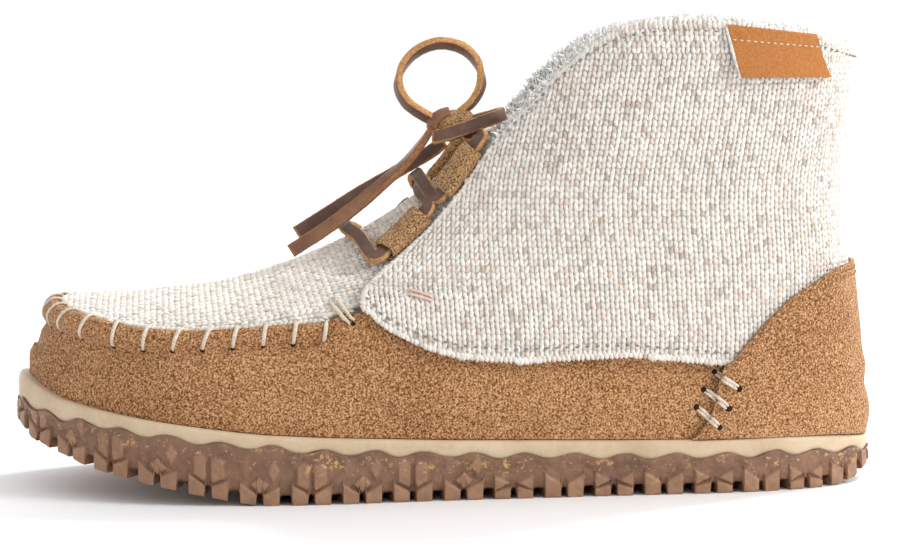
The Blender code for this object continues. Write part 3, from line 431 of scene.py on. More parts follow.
def shell(outer, inner):
    """Points and quads of a closed sheet between two grids of the same size."""
    columns, rows = outer.shape[:2]
    count = columns * rows
    points = np.vstack([outer.reshape(-1, 3), inner.reshape(-1, 3)])
    quads = [grid_quads(columns, rows), grid_quads(columns, rows, start=count, flip=True)]
    index = np.arange(count).reshape(columns, rows)
    edge = np.concatenate([index[:, 0], index[-1, 1:], index[-2::-1, -1], index[0, -2:0:-1]])
    after = np.roll(edge, -1)
    quads.append(np.stack([edge, edge + count, after + count, after], 1))
    return points, np.vstack(quads)


def loop_quads(columns, rows, wrap=True):
    """Quads of closed columns of points laid side by side, all round."""
    i = np.arange(columns if wrap else columns - 1)
    j = np.arange(rows)
    a = (i[:, None] * rows + j[None, :]).ravel()
    b = (((i + 1) % columns)[:, None] * rows + j[None, :]).ravel()
    c = (((i + 1) % columns)[:, None] * rows + ((j + 1) % rows)[None, :]).ravel()
    d = (i[:, None] * rows + ((j + 1) % rows)[None, :]).ravel()
    return np.stack([a, b, c, d], 1)


def outward(mesh):
    """Turns a closed mesh's faces outwards if its volume reads as negative."""
    mesh.calc_loop_triangles()
    tris = np.empty(len(mesh.loop_triangles) * 3, int)
    mesh.loop_triangles.foreach_get("vertices", tris)
    co = np.empty(len(mesh.vertices) * 3)
    mesh.vertices.foreach_get("co", co)
    corners = co.reshape(-1, 3)[tris.reshape(-1, 3)]
    volume = np.einsum("ij,ij->i", corners[:, 0], np.cross(corners[:, 1], corners[:, 2])).sum()
    if volume < 0:
        mesh.flip_normals()


def solid(name, points, polys, materials, slot, replaces=(), sharp=None, **painted):
    """Closed piece with its faces outwards and any painted attributes."""
    mesh = mesh_from(name, points, polys)
    outward(mesh)
    for attribute, values in painted.items():
        paint(mesh, attribute, values)
    return piece(name, mesh, materials, slot, replaces, sharp)


# Materials

class Nodes:
    """Short names for building one material's node tree."""

    def __init__(self, name):
        self.material = bpy.data.materials.new(name)
        self.material.use_nodes = True
        self.tree = self.material.node_tree
        self.shader = self.tree.nodes["Principled BSDF"]

    def node(self, kind, links=None, **values):
        made = self.tree.nodes.new(kind)
        for key, value in values.items():
            if hasattr(made, key):
                setattr(made, key, value)
            else:
                made.inputs[key.replace("_", " ")].default_value = value
        for socket, source in (links or {}).items():
            self.tree.links.new(source, made.inputs[socket])
        return made

    def link(self, source, socket):
        self.tree.links.new(source, self.shader.inputs[socket])

    def position(self):
        return self.node("ShaderNodeTexCoord").outputs["Object"]

    def noise(self, scale, detail=3.0, roughness=0.55):
        values = {"Scale": scale, "Detail": detail, "Roughness": roughness}
        return self.node("ShaderNodeTexNoise", {"Vector": self.position()}, **values).outputs["Fac"]

    def cells(self, scale):
        return self.node("ShaderNodeTexVoronoi", {"Vector": self.position()}, Scale=scale).outputs["Distance"]

    def ramp(self, source, stops):
        made = self.node("ShaderNodeValToRGB", {"Fac": source})
        ramp = made.color_ramp
        while len(ramp.elements) < len(stops):
            ramp.elements.new(0.5)
        for element, (place, colour) in zip(ramp.elements, stops):
            element.position = place
            element.color = (*colour, 1.0) if len(colour) == 3 else colour
        return made.outputs["Color"]

    def math(self, operation, a, b):
        made = self.node("ShaderNodeMath", operation=operation)
        for k, value in enumerate((a, b)):
            if isinstance(value, (int, float)):
                made.inputs[k].default_value = value
            else:
                self.tree.links.new(value, made.inputs[k])
        return made.outputs[0]

    def blend(self, a, share_a, b, share_b):
        """Weighted sum of two values."""
        return self.math("ADD", self.math("MULTIPLY", a, share_a), self.math("MULTIPLY", b, share_b))

    def mix(self, fac, a, b, kind="MIX"):
        made = self.node("ShaderNodeMix", data_type="RGBA", blend_type=kind)
        for socket, value in ((0, fac), (6, a), (7, b)):
            if isinstance(value, (int, float)):
                made.inputs[socket].default_value = value
            elif isinstance(value, tuple):
                made.inputs[socket].default_value = (*value, 1.0)
            else:
                self.tree.links.new(value, made.inputs[socket])
        return made.outputs[2]

    def attribute(self, name, kind="Fac"):
        return self.node("ShaderNodeAttribute", attribute_name=name).outputs[kind]

    def bump(self, height, strength, distance, normal=None):
        links = {"Height": height, "Normal": normal} if normal else {"Height": height}
        return self.node("ShaderNodeBump", links, Strength=strength, Distance=distance).outputs["Normal"]

    def set(self, **values):
        for key, value in values.items():
            self.shader.inputs[key.replace("_", " ")].default_value = value


def suede(name, light, mid, dark, grain, bump):
    """Pebbled suede: short nap in clumps with darker pits between them."""
    n = Nodes(name)
    clumps = n.noise(grain, 2.0, 0.5)
    pits = n.cells(grain * 0.8)
    broad = n.noise(grain * 0.015, 3.0, 0.5)
    nap = n.blend(clumps, 1.15, pits, -0.32)
    level = n.math("ADD", nap, n.math("ADD", n.math("MULTIPLY", broad, 0.22), -0.02))
    n.link(n.ramp(level, [(0.30, dark), (0.50, mid), (0.74, light)]), "Base Color")
    n.link(n.bump(nap, 1.0, bump, n.bump(n.noise(grain * 0.1), 0.35, 0.0008)), "Normal")
    n.set(Roughness=0.95, Specular_IOR_Level=0.12, Sheen_Weight=0.1, Sheen_Roughness=0.5)
    return n.material


def yarn(name):
    """Wool yarn: per-stitch colour with a fine fibre grain."""
    n = Nodes(name)
    tint = n.attribute("tint", "Color")
    fibre = n.noise(2600.0, 3.0, 0.65)
    blotch = n.noise(420.0, 2.0, 0.5)
    shade = n.ramp(fibre, [(0.3, (0.70, 0.69, 0.68)), (0.62, (1.0, 1.0, 1.0))])
    colour = n.mix(0.55, tint, shade, "MULTIPLY")
    warm = n.ramp(blotch, [(0.34, (0.86, 0.82, 0.78)), (0.55, (1.0, 1.0, 1.0))])
    n.link(n.mix(0.5, colour, warm, "MULTIPLY"), "Base Color")
    n.link(n.bump(fibre, 0.7, 0.00035), "Normal")
    n.set(Roughness=0.95, Specular_IOR_Level=0.1, Sheen_Weight=0.2, Sheen_Roughness=0.6)
    return n.material


def knit_ground_painted_shade(name):
    """The yarn behind the stitches, its colour painted darker as the shade between them."""
    n = Nodes(name)
    # painted shade: a dark grey-brown that stands for the shade between the stitches
    shade = n.ramp(n.noise(900.0), [(0.3, (0.38, 0.34, 0.29)), (0.65, (0.58, 0.53, 0.46))])
    n.link(shade, "Base Color")
    n.link(n.bump(n.noise(1500.0), 0.6, 0.0004), "Normal")
    n.set(Roughness=1.0, Specular_IOR_Level=0.05)
    return n.material


def fleece(name, colour):
    """Wool pile, a little darker in random patches."""
    n = Nodes(name)
    soft = n.noise(700.0, 4.0, 0.6)
    low = tuple(c * 0.93 for c in colour)
    n.link(n.ramp(soft, [(0.3, low), (0.6, colour)]), "Base Color")
    n.link(n.bump(soft, 0.5, 0.0008), "Normal")
    n.set(Roughness=1.0, Specular_IOR_Level=0.05, Sheen_Weight=0.6, Sheen_Roughness=0.5)
    return n.material


def rubber(name):
    """Brown rubber: random clouds, with recesses painted darker and more purple as painted shade and raised
    faces painted paler as painted light; ochre and pale scuffs higher up.
    """
    n = Nodes(name)
    relief_shade_level = n.attribute("relief")
    worn = n.attribute("scuff")
    cloud = n.noise(170.0, 4.0, 0.6)
    # the relief height paints shade into the recesses and light onto the raised faces
    level = n.blend(relief_shade_level, 0.30, cloud, 0.72)
    base = n.ramp(level, [(0.16, (0.120, 0.060, 0.036)), (0.40, (0.215, 0.111, 0.064)),
                          (0.66, (0.290, 0.156, 0.088)), (0.92, (0.38, 0.215, 0.122))])
    flakes = n.ramp(n.noise(420.0, 3.0, 0.75), [(0.545, (0, 0, 0)), (0.61, (1, 1, 1))])
    ochre = n.math("MULTIPLY", flakes, n.ramp(n.noise(95.0, 2.0), [(0.50, (0, 0, 0)), (0.60, (1, 1, 1))]))
    base = n.mix(n.math("MULTIPLY", ochre, worn), base, (0.56, 0.33, 0.12))
    pale = n.ramp(n.noise(640.0, 3.0, 0.8), [(0.61, (0, 0, 0)), (0.67, (1, 1, 1))])
    n.link(n.mix(n.math("MULTIPLY", pale, worn), base, (0.52, 0.38, 0.25)), "Base Color")
    n.link(n.bump(n.noise(620.0, 3.0), 0.45, 0.0004, n.bump(cloud, 0.5, 0.0014)), "Normal")
    n.link(n.ramp(n.noise(260.0, 2.0), [(0.3, (0.38, 0.38, 0.38)), (0.7, (0.6, 0.6, 0.6))]), "Roughness")
    n.set(Specular_IOR_Level=0.4)
    return n.material


def cream_rubber(name):
    """Smooth cream rubber with faint clouds."""
    n = Nodes(name)
    cloud = n.noise(60.0, 4.0, 0.6)
    streak = n.noise(700.0, 2.0, 0.6)
    stops = [(0.34, (0.47, 0.345, 0.22)), (0.55, (0.56, 0.43, 0.285)), (0.75, (0.64, 0.51, 0.36))]
    n.link(n.ramp(n.blend(cloud, 0.8, streak, 0.25), stops), "Base Color")
    n.link(n.bump(n.noise(900.0, 2.0), 0.25, 0.0002), "Normal")
    n.set(Roughness=0.5, Specular_IOR_Level=0.35)
    return n.material


def thong(name, dull, warm, cut_low, cut_high):
    """Flat leather lace: grain faces between dull and warm, rough cut edges."""
    n = Nodes(name)
    edge = n.attribute("edge")
    grain = n.noise(700.0, 3.0, 0.6)
    streak = n.noise(160.0, 3.0, 0.6)
    face = n.ramp(streak, [(0.3, dull), (0.7, warm)])
    cut = n.ramp(n.noise(1300.0, 3.0, 0.7), [(0.32, cut_low), (0.62, cut_high)])
    n.link(n.mix(edge, face, cut), "Base Color")
    n.link(n.bump(grain, 0.5, 0.0003), "Normal")
    n.link(n.ramp(edge, [(0.0, (0.42, 0.42, 0.42)), (1.0, (0.92, 0.92, 0.92))]), "Roughness")
    n.set(Specular_IOR_Level=0.4)
    return n.material


def cotton(name, light, dark):
    """Sewing thread with a twist."""
    n = Nodes(name)
    twist = n.noise(1800.0, 3.0, 0.6)
    n.link(n.ramp(twist, [(0.3, dark), (0.62, light)]), "Base Color")
    n.link(n.bump(twist, 0.8, 0.0003), "Normal")
    n.set(Roughness=0.85, Specular_IOR_Level=0.15)
    return n.material


def twill(name):
    """Rust orange twill with diagonal ribs."""
    n = Nodes(name)
    ribs = n.node("ShaderNodeTexWave", {"Vector": n.position()}, wave_type="BANDS",
                  bands_direction="DIAGONAL", Scale=640.0, Distortion=1.5, Detail=2.0).outputs["Fac"]
    level = n.blend(ribs, 0.35, n.noise(1500.0), 0.7)
    stops = [(0.2, (0.25, 0.085, 0.024)), (0.55, (0.44, 0.165, 0.045)), (0.85, (0.58, 0.26, 0.09))]
    n.link(n.ramp(level, stops), "Base Color")
    n.link(n.bump(level, 0.7, 0.0003), "Normal")
    n.set(Roughness=0.8, Specular_IOR_Level=0.2)
    return n.material


def plain(name, colour):
    """One matt colour with a little unevenness."""
    n = Nodes(name)
    shade = tuple(c * 0.7 for c in colour)
    n.link(n.ramp(n.noise(600.0, 2.0), [(0.35, shade), (0.6, colour)]), "Base Color")
    n.set(Roughness=1.0, Specular_IOR_Level=0.1)
    return n.material


TAN_SUEDE = suede("tan_suede",
                  (0.67, 0.40, 0.205), (0.365, 0.173, 0.071), (0.125, 0.050, 0.018), 1750.0, 0.0005)
LOOP_SUEDE = suede("loop_suede",
                   (0.66, 0.41, 0.20), (0.40, 0.22, 0.10), (0.10, 0.05, 0.025), 2100.0, 0.0007)
YARN = yarn("yarn")
KNIT_GROUND_PAINTED_SHADE = knit_ground_painted_shade("knit_ground_painted_shade")
FLEECE = fleece("fleece", (0.97, 0.955, 0.925))
RUBBER = rubber("brown_rubber")
CREAM = cream_rubber("cream_rubber")
THONG = thong("thong",
              (0.075, 0.036, 0.026), (0.155, 0.078, 0.052), (0.28, 0.12, 0.042), (0.58, 0.31, 0.115))
NAP = thong("thong_nap",
            (0.13, 0.058, 0.030), (0.25, 0.115, 0.055), (0.15, 0.065, 0.028), (0.33, 0.155, 0.065))
CREAM_THREAD = cotton("cream_thread", (0.76, 0.66, 0.54), (0.50, 0.40, 0.31))
TAN_THREAD = cotton("tan_thread", (0.34, 0.19, 0.085), (0.15, 0.075, 0.035))
PINK_THREAD = cotton("pink_thread", (0.80, 0.60, 0.50), (0.58, 0.40, 0.33))
GREY_THREAD = cotton("grey_thread", (0.33, 0.29, 0.26), (0.16, 0.13, 0.115))
# painted shade: a near-black colour for the shade inside the needle holes
SHADOW = plain("hole", (0.03, 0.018, 0.012))
TWILL = twill("label_twill")
WOVEN_EDGE = plain("woven_edge", (0.74, 0.72, 0.70))

# Free cords: the bow's two loops and two ends. Points repeat the CAD routes.

STRAP_WIDTH = 4.2
STRAP_THICKNESS = 2.2
CORDS = {
    # each point: x, y, z, then the direction of the thong's width
    "lace_loop_up": [
        (4.2, -2.5, 115.9, 0.0, -0.9, 0.4), (8.4, -2.5, 119.6, -0.3, -0.9, 0.3),
        (11.0, -2.0, 125.0, -0.4, -0.9, 0.3), (9.8, -1.5, 131.4, 0.0, -0.8, 0.6),
        (5.2, -1.0, 136.0, 0.0, -0.75, 0.65), (-1.8, -0.5, 137.6, 0.0, -0.75, 0.65),
        (-8.6, -0.5, 135.4, 0.0, -0.75, 0.65), (-13.4, -1.0, 130.6, 0.0, -0.8, 0.6),
        (-15.0, -1.5, 124.8, 0.2, -0.85, 0.5), (-12.8, -2.0, 119.6, 0.2, -0.8, 0.6),
        (-8.6, -2.5, 116.2, 0.2, -0.75, 0.65), (-4.2, -3.0, 113.7, 0.2, -0.75, 0.65),
    ],
    "lace_loop_side": [
        (-4.3, -7.9, 108.6, 0.2, 0.2, 0.95), (-1.0, -10.2, 109.6, 0.1, 0.2, 0.95),
        (4.5, -11.2, 111.4, -0.1, 0.2, 0.95), (10.0, -11.3, 113.4, -0.25, 0.2, 0.95),
        (14.6, -10.0, 114.9, -0.3, 0.2, 0.95), (17.2, -7.4, 115.8, -0.3, 0.1, 0.95),
        (16.0, -4.6, 115.4, -0.3, 0.1, 0.95), (11.8, -3.8, 114.2, -0.3, 0.1, 0.95),
        (8.0, -3.8, 113.2, -0.3, 0.1, 0.95),
    ],
    "lace_end_near": [
        (-5.0, -4.2, 110.8, 0.2, 0.9, 0.1), (-8.6, -6.5, 106.0, 0.0, 0.95, 0.2),
        (-13.6, -8.4, 100.4, 0.0, 0.9, 0.35), (-20.2, -9.6, 94.6, -0.25, 0.8, 0.5),
        (-28.6, -10.2, 87.6, -0.5, 0.45, 0.7), (-38.4, -10.4, 80.4, -0.55, 0.2, 0.8),
        (-49.0, -10.2, 73.6, -0.5, 0.2, 0.85),
    ],
    "lace_end_far": [
        (-0.6, 1.8, 106.9, -0.2, 0.3, 0.9), (-4.4, 2.6, 103.6, -0.2, 0.25, 0.9),
        (-10.4, 3.6, 100.0, -0.3, 0.2, 0.9), (-17.8, 4.2, 95.6, -0.4, 0.2, 0.9),
        (-27.4, 4.2, 90.2, -0.45, 0.2, 0.9), (-37.0, 3.6, 84.2, -0.45, 0.2, 0.9),
        (-47.0, 3.0, 78.0, -0.45, 0.2, 0.9),
    ],
}


def smooth_route(points, spacing=0.9):
    """Evenly spaced points on a smooth curve through a route's points."""
    points = np.asarray(points, float)
    ends = np.vstack([points[0] * 2 - points[1], points, points[-1] * 2 - points[-2]])
    t = np.arange(16)[:, None] / 16
    dense = [catmull(ends[k], ends[k + 1], ends[k + 2], ends[k + 3], t) for k in range(len(points) - 1)]
    dense = np.vstack(dense + [points[-1:]])
    steps = run_along(dense)
    marks = np.linspace(0.0, steps[-1], max(int(steps[-1] / spacing), 4))
    return sample(marks, steps, dense), marks


def shares(points):
    steps = run_along(points)
    return steps / steps[-1]


def strap(name, route, facing, replaces=(), flat=False, spacing=0.9, skin_of=THONG):
    """Flat thong along a route, with rounded arrises. facing is the direction of its width or,
    with flat, the direction that its flat face looks in. Returns the piece, its path and length."""
    route = np.asarray(route, float)
    centres, marks = smooth_route(route, spacing)
    count = len(centres)
    share = marks / marks[-1]
    tangent = unit(np.gradient(centres, axis=0))
    side = sample(share, shares(route), unit(np.asarray(facing, float)))
    if flat:
        side = np.cross(side, tangent)
    side = unit(side - tangent * (side * tangent).sum(1, keepdims=True))
    up = np.cross(tangent, side)
    half_w, half_t, turn = STRAP_WIDTH / 2, STRAP_THICKNESS / 2, 0.45
    section, edge = [], []
    for first, corner_x, corner_y in ((0, 1, 1), (90, -1, 1), (180, -1, -1), (270, 1, -1)):
        for a in np.radians([first, first + 45, first + 90]):
            section.append((corner_x * (half_w - turn) + turn * math.cos(a),
                            corner_y * (half_t - turn) + turn * math.sin(a)))
            edge.append(abs(math.cos(a)) > 0.6)
    section = np.array(section)
    rough = np.random.default_rng(len(name)).normal(0.0, 0.05, (count, len(section), 1))
    points = centres[:, None] + side[:, None] * section[None, :, :1] + up[:, None] * section[None, :, 1:]
    points = points + side[:, None] * rough
    rings = len(section)
    cap = np.arange(rings)[None]
    polys = [loop_quads(count, rings, wrap=False), cap, (count - 1) * rings + cap[:, ::-1]]
    flags = np.tile(np.array(edge, float), (count, 1))
    flags[[0, -1]] = 1.0
    made = solid(name, points, polys, skin_of, "lace_leather", replaces, sharp=50, edge=flags.ravel())
    return made, centres, marks[-1]


def add_free_cords():
    for name, rows in CORDS.items():
        rows = np.array(rows)
        obj, path, length = strap(name + "_thong", rows[:, :3], rows[:, 3:], (name,),
                                  skin_of=NAP if name == "lace_end_near" else THONG)
        [tuple(p * MM) for p in path]


add_free_cords()

# Lace inside the loops, and the loops

LOOPS = {
    # name: side, first ring, last ring, width across the tongue, height, seed
    "loop_outer_low": (-1, 5.62, 6.5, 8.6, 5.8, 501),
    "loop_outer_high": (-1, 6.93, 7.72, 8.4, 5.7, 726),
    "loop_inner_low": (1, 5.62, 6.5, 8.6, 5.8, 501),
    "loop_inner_high": (1, 6.93, 7.72, 8.4, 5.7, 726),
}
LOOP_CLEAR = 0.5
LOOP_WALL = 1.1
CROSS_OVER = [(-7.3, -8.5, 94.2), (-9.3, -0.5, 96.8), (-9.4, 8.5, 94.4)]
CROSS_UNDER = [(-8.6, -9.0, 91.9), (-7.6, 0.5, 94.7), (-6.6, 9.0, 93.3)]
BAR = [(-27.2, 13.0, 77.4), (-31.2, 4.0, 80.0), (-31.2, -4.0, 80.0), (-27.2, -13.0, 77.4)]
RUN_ENDS = [[(7.0, -6.4, 109.2), (8.0, -11.2, 108.6)], [(7.6, 9.6, 108.3), (6.8, 0.6, 109.8)]]


def throat_frame(side, v):
    """Edge point, direction up the throat, outward normal and direction to the middle."""
    def edge(row):
        angle = throat_angle(row)
        return last(angle if side < 0 else -angle, np.array([row]))[0]

    angle = throat_angle(v)
    along = unit(edge(v + 0.05) - edge(v - 0.05))
    out = normals(angle if side < 0 else -angle, np.array([v]))[0]
    out = unit(out - along * out.dot(along))
    inward = unit(np.cross(out, along))
    if inward[1] * side > 0:
        inward = -inward
    return edge(v), along, out, inward


def loop_centre(name, share):
    side, first, final, width, height, _ = LOOPS[name]
    point, _, out, inward = throat_frame(side, first + (final - first) * share)
    return point + inward * (LOOP_CLEAR + width / 2) + out * (PLUG_WALL + 0.6 + height / 2)


def add_loop(name):
    """Rolled suede loop: a squarish tube with a raw end at each mouth."""
    side, first, final, width, height, seed = LOOPS[name]
    around, steps = 36, 22
    rng = np.random.default_rng(seed)
    rings = []
    for k in range(steps + 1):
        share = k / steps
        _, _, out, inward = throat_frame(side, first + (final - first) * share)
        centre = loop_centre(name, share)
        turns = 2 * math.pi * np.arange(around) / around
        c, s = np.cos(turns), np.sin(turns)
        square_c, square_s = np.sign(c) * np.abs(c) ** 0.7, np.sign(s) * np.abs(s) ** 0.7
        wobble = 0.16 * np.sin(turns * 3 + share * 4.0) + 0.1 * np.sin(share * 9.0 + turns)
        wobble = wobble + rng.normal(0.0, 0.03, around)
        end = 0.35 * (1.0 - smooth(0.0, 0.1, min(share, 1.0 - share)))
        ring = centre + inward * (square_c * (width / 2 - 0.15 - end + wobble))[:, None]
        ring = ring + out * (square_s * (height / 2 - 0.15 - end + wobble))[:, None]
        hole = centre + inward * (square_c * (width / 2 - LOOP_WALL))[:, None]
        hole = hole + out * (square_s * (height / 2 - LOOP_WALL))[:, None]
        rings.append((ring, hole))
    columns = np.array([[r[0][j] for r in rings] + [r[1][j] for r in reversed(rings)] for j in range(around)])
    polys = [loop_quads(around, columns.shape[1])]
    solid(name + "_suede", columns, polys, LOOP_SUEDE, "loop_suede", (name,), sharp=60)


def add_lace_run():
    route, facing = [], []
    front = (-0.6, 0.0, 0.8)

    def through(name, start, end):
        side, low, high = LOOPS[name][:3]
        for share in np.linspace(start, end, 4):
            route.append(loop_centre(name, share))
            facing.append(throat_frame(side, low + (high - low) * share)[2])

    def over(points):
        for point in points:
            route.append(np.array(point))
            facing.append(np.array(front))

    over(RUN_ENDS[0])
    through("loop_outer_high", 1.24, -0.16)
    over(CROSS_OVER)
    through("loop_inner_low", 1.16, -0.26)
    over(BAR)
    through("loop_outer_low", -0.26, 1.16)
    over(CROSS_UNDER)
    through("loop_inner_high", -0.16, 1.16)
    over(RUN_ENDS[1])
    strap("lace_run_thong", route, facing, ("lace_run",), flat=True, spacing=1.1)


for loop_name in LOOPS:
    add_loop(loop_name)
add_lace_run()

# Sole

PERIODS = 20
PER = 40
LUG_INNER, LUG_OUTER = 0.9, 6.1      # a lug's two edges from the middle of its pair
PITCH = 15.66
WAVE = 0.85
WAVE_CREST = 0.75
REAR_PERIOD = 11


def columns_of_sole():
    """Points, inward normals, phase in a pair's pitch and number of the pair, toe to heel."""
    count = PERIODS * PER
    points, inward = even_outline(count)
    index = np.arange(2 * count)
    turn = np.where(index <= count, index, 2 * count - index) / PER
    turn = np.minimum(turn, PERIODS - 1e-6)
    return points, inward, turn % 1.0, np.floor(turn).astype(int)


def step(low, high, value):
    return np.clip((value - low) / (high - low), 0.0, 1.0)


def lug_width(u):
    """1 on the two lugs of a pair, 0 in the gaps."""
    m = np.abs(u - 0.5) * PITCH
    return step(LUG_INNER - 0.2, LUG_INNER + 0.2, m) * (1.0 - step(LUG_OUTER - 0.2, LUG_OUTER + 0.2, m))


def relief(u, h, kind):
    """Height of the side's relief, 0 to 1, at phase u and h millimetres above the tread."""
    m = np.abs(u - 0.5) * PITCH
    lug = lug_width(u)
    slope = np.clip((m - LUG_INNER) / (LUG_OUTER - LUG_INNER), 0.0, 1.0)
    top = np.select([kind == 2, kind == 3], [4.2 + 3.0 * slope, 3.7 - 1.3 * slope], 3.3 + 2.7 * slope)
    lugs = lug * (1.0 - step(top - 0.25, top + 0.3, h))
    diamond = 1.0 - step(0.84, 1.0, m / 3.1 + np.abs(h - 6.1) / 2.9)
    leaf = 1.0 - step(0.7, 1.05, np.abs(m - 4.2) / 2.1 + np.abs(h - 10.6) / 4.0)
    leaf = leaf * step(top + 0.6, top + 1.2, h)
    rib = step(0.4, 0.9, m) * (1.0 - step(4.3, 4.8, m)) * step(top + 0.7, top + 1.2, h)
    rib = rib * (1.0 - step(12.1 - 0.45 * np.abs(m - 2.4), 12.9 - 0.45 * np.abs(m - 2.4), h))
    arrow = 1.0 - step(-0.25, 0.25, np.abs(h - 4.9) - 2.3 * (m - 1.3) / 4.6)
    arrow = arrow * (1.0 - step(5.8, 6.2, m))
    leaf = leaf * np.where(u > 0.5, 0.85, 0.3)
    shapes = np.select([kind == 0, kind == 1, kind == 3], [np.maximum(diamond, leaf), 0.9 * rib, arrow], 0.0)
    return np.maximum(lugs, shapes * 0.92)


def soft_noise(rng, rows, columns, passes):
    """Smooth random field, unit height, that closes round the columns."""
    field = rng.normal(0.0, 1.0, (rows, columns))
    for _ in range(passes):
        field = (field + np.roll(field, 1, 1) + np.roll(field, -1, 1)) / 3
        field[1:-1] = (field[1:-1] * 2 + field[:-2] + field[2:]) / 4
    return field / field.std()


def add_outsole():
    points, inward, u, number = columns_of_sole()
    rng = np.random.default_rng(3)
    x = points[:, 0]
    kind = number % 2 + np.where(number >= REAR_PERIOD, 2, 0)
    tread = sole_row(x, 1)
    top = sole_row(x, 2) + WAVE * np.cos(2 * math.pi * (u - WAVE_CREST))
    top = top + 0.22 * soft_noise(rng, 1, len(x), 30)[0]
    gap = 1.0 - lug_width(u)
    low = tread + gap * TREAD_DEPTH
    shares_up = np.concatenate([[0.0, 0.025, 0.06], np.linspace(0.1, 0.95, 30), [0.985, 1.0]])
    wobble = soft_noise(rng, len(shares_up), len(x), 5)
    rows, relief_shade_rows, scuffs = [], [], []
    slant = 0.35 * np.sin(number * 2.4)
    for k, share in enumerate(shares_up):
        z = low + (top - low) * share
        raised = relief(np.clip(u + slant * 0.02, 0.0, 1.0), (z - tread) * (1.0 + 0.05 * slant), kind)
        wall = 1.1 - 0.75 * smooth(0.55, 1.0, share)
        under = 1.0 - step(0.0, 0.05, share)
        inset = wall * (1.0 - raised) + 0.3 * gap * (1.0 - smooth(0.1, 0.3, share))
        inset = inset + under * 0.4 + 0.08 + 0.07 * wobble[k] + 0.1 * raised * smooth(0.1, 0.5, share)
        inset = np.maximum(inset, 0.02)
        rows.append(np.column_stack([points + inward * inset[:, None], z]))
        relief_shade_rows.append(raised)
        worn = smooth(0.45, 0.75, share) * (1.0 - 0.5 * smooth(0.9, 1.0, share))
        scuffs.append(np.full(len(x), float(worn)) + 0.25 * raised)
    core = LUG_DEPTH + 2.4
    lip = np.column_stack([points + inward * 1.6, top - 0.05])
    rim = np.column_stack([points + inward * core, np.minimum(top, sole_row(x, 2)) - 1.0])
    rows += [lip, rim]
    bottom = [np.column_stack([points + inward * d, low]) for d in (14.0, 6.0, 2.6, 0.8)]
    rows = bottom + rows
    relief_shade_rows = [1.0 - gap] * len(bottom) + relief_shade_rows + [np.zeros(len(x))] * 2
    scuffs = [np.zeros(len(x))] * len(bottom) + scuffs + [np.zeros(len(x))] * 2
    grid = np.stack(rows, 1)
    columns, count = grid.shape[:2]
    half = columns // 2
    k = np.arange(half)
    strips = []
    for row in (0, count - 1):
        a, b = k * count + row, (k + 1) * count + row
        c = ((columns - k - 1) % columns) * count + row
        d = ((columns - k) % columns) * count + row
        strips.append(np.stack([a, b, c, d], 1))
    strips = np.vstack(strips)
    whole = np.array([len(set(q)) == 4 for q in strips.tolist()])
    ends = np.array([[v for n, v in enumerate(q) if v not in q[:n]] for q in strips[~whole].tolist()])
    polys = [grid_quads(columns, count, wrap=True), strips[whole], ends]
    # the relief attribute carries painted shade in the recesses and painted light on the raised faces
    solid("outsole_rubber", grid, polys, RUBBER, "brown_rubber", ("outsole",), sharp=38,
          relief=np.stack(relief_shade_rows, 1).ravel(), scuff=np.stack(scuffs, 1).ravel())


def add_midsole():
    points, inward, u, _ = columns_of_sole()
    x = points[:, 0]
    low = sole_row(x, 2) + WAVE * np.cos(2 * math.pi * (u - WAVE_CREST))
    top = band_top(x)
    profile = [
        # inset, share from the rubber's edge up to the band's top, lift
        (5.0, 0.0, -1.0), (1.9, 0.0, -0.6), (1.25, 0.0, -0.25), (0.8, 0.12, 0.0),
        (0.7, 0.3, 0.0), (0.7, 0.55, 0.0), (0.8, 0.76, 0.0), (1.15, 0.9, 0.0),
        (1.75, 0.99, -0.02), (2.4, 1.0, 0.0), (4.2, 1.0, -0.2), (7.0, 1.0, -0.5),
    ]
    rows = []
    for inset, share, lift in profile:
        rows.append(np.column_stack([points + inward * inset, low + (top - low) * share + lift]))
    grid = np.stack(rows, 1)
    solid("midsole_band", grid, [loop_quads(*grid.shape[:2])], CREAM, "cream_rubber", ("midsole",), sharp=60)


add_outsole()
add_midsole()

# Suede lower

UPPER_COLUMNS = 480
UPPER_INNER_ROWS = 8
RIDGE_CLIMB = 9.0       # length over which the top edge leaves the ridge for the knit's edge
STITCH_PITCH = 9.2
STITCH_HOLE_DROP = 6.6
LAST_STITCH_X = -40.0


def upper_top(angles):
    """Rows of the suede's top edge: the moccasin seam in front, under the knit behind."""
    x = last(angles, np.full(len(angles), RIDGE_ROW))[:, 0]
    climb = smooth(RIDGE_END_X, RIDGE_END_X + RIDGE_CLIMB, x)

    def height(px):
        return knit_edge(px) + LAP * smooth(-28.0, -2.0, px)

    return RIDGE_ROW + (rows_at(angles, height) - RIDGE_ROW) * climb


SEAM_ANGLES = np.linspace(0.0, math.pi * 0.62, 1600)
SEAM_POINTS = last(SEAM_ANGLES, np.full(len(SEAM_ANGLES), RIDGE_ROW))
SEAM_STEPS = run_along(SEAM_POINTS)
LAST_STITCH = float(np.interp(LAST_STITCH_X, SEAM_POINTS[:, 0], SEAM_STEPS))
STITCH_MARKS = np.arange(LAST_STITCH, 1.5, -STITCH_PITCH)
STITCH_X = np.interp(STITCH_MARKS, SEAM_STEPS, SEAM_POINTS[:, 0])
STITCH_LEANS = 0.9 + 2.3 * np.exp(-((STITCH_X + 82.0) / 14.0) ** 2)
HOLE_ANGLES = np.interp(STITCH_MARKS + STITCH_LEANS / 2, SEAM_STEPS, SEAM_ANGLES)
HOLE_POINTS = last(HOLE_ANGLES, np.full(len(HOLE_ANGLES), RIDGE_ROW))


def seam_fade(x):
    """1 along the raised seam, 0 past its end."""
    return 1.0 - smooth(*RIDGE_FADE, x)


def down_column(angle, top, distances):
    """Rows at the given distances below the top edge of a column, and its whole length."""
    rows = np.linspace(top, 0.0, 160)
    points = last(np.full(len(rows), angle), rows)
    steps = run_along(points)
    return np.interp(distances, steps, rows), steps[-1]


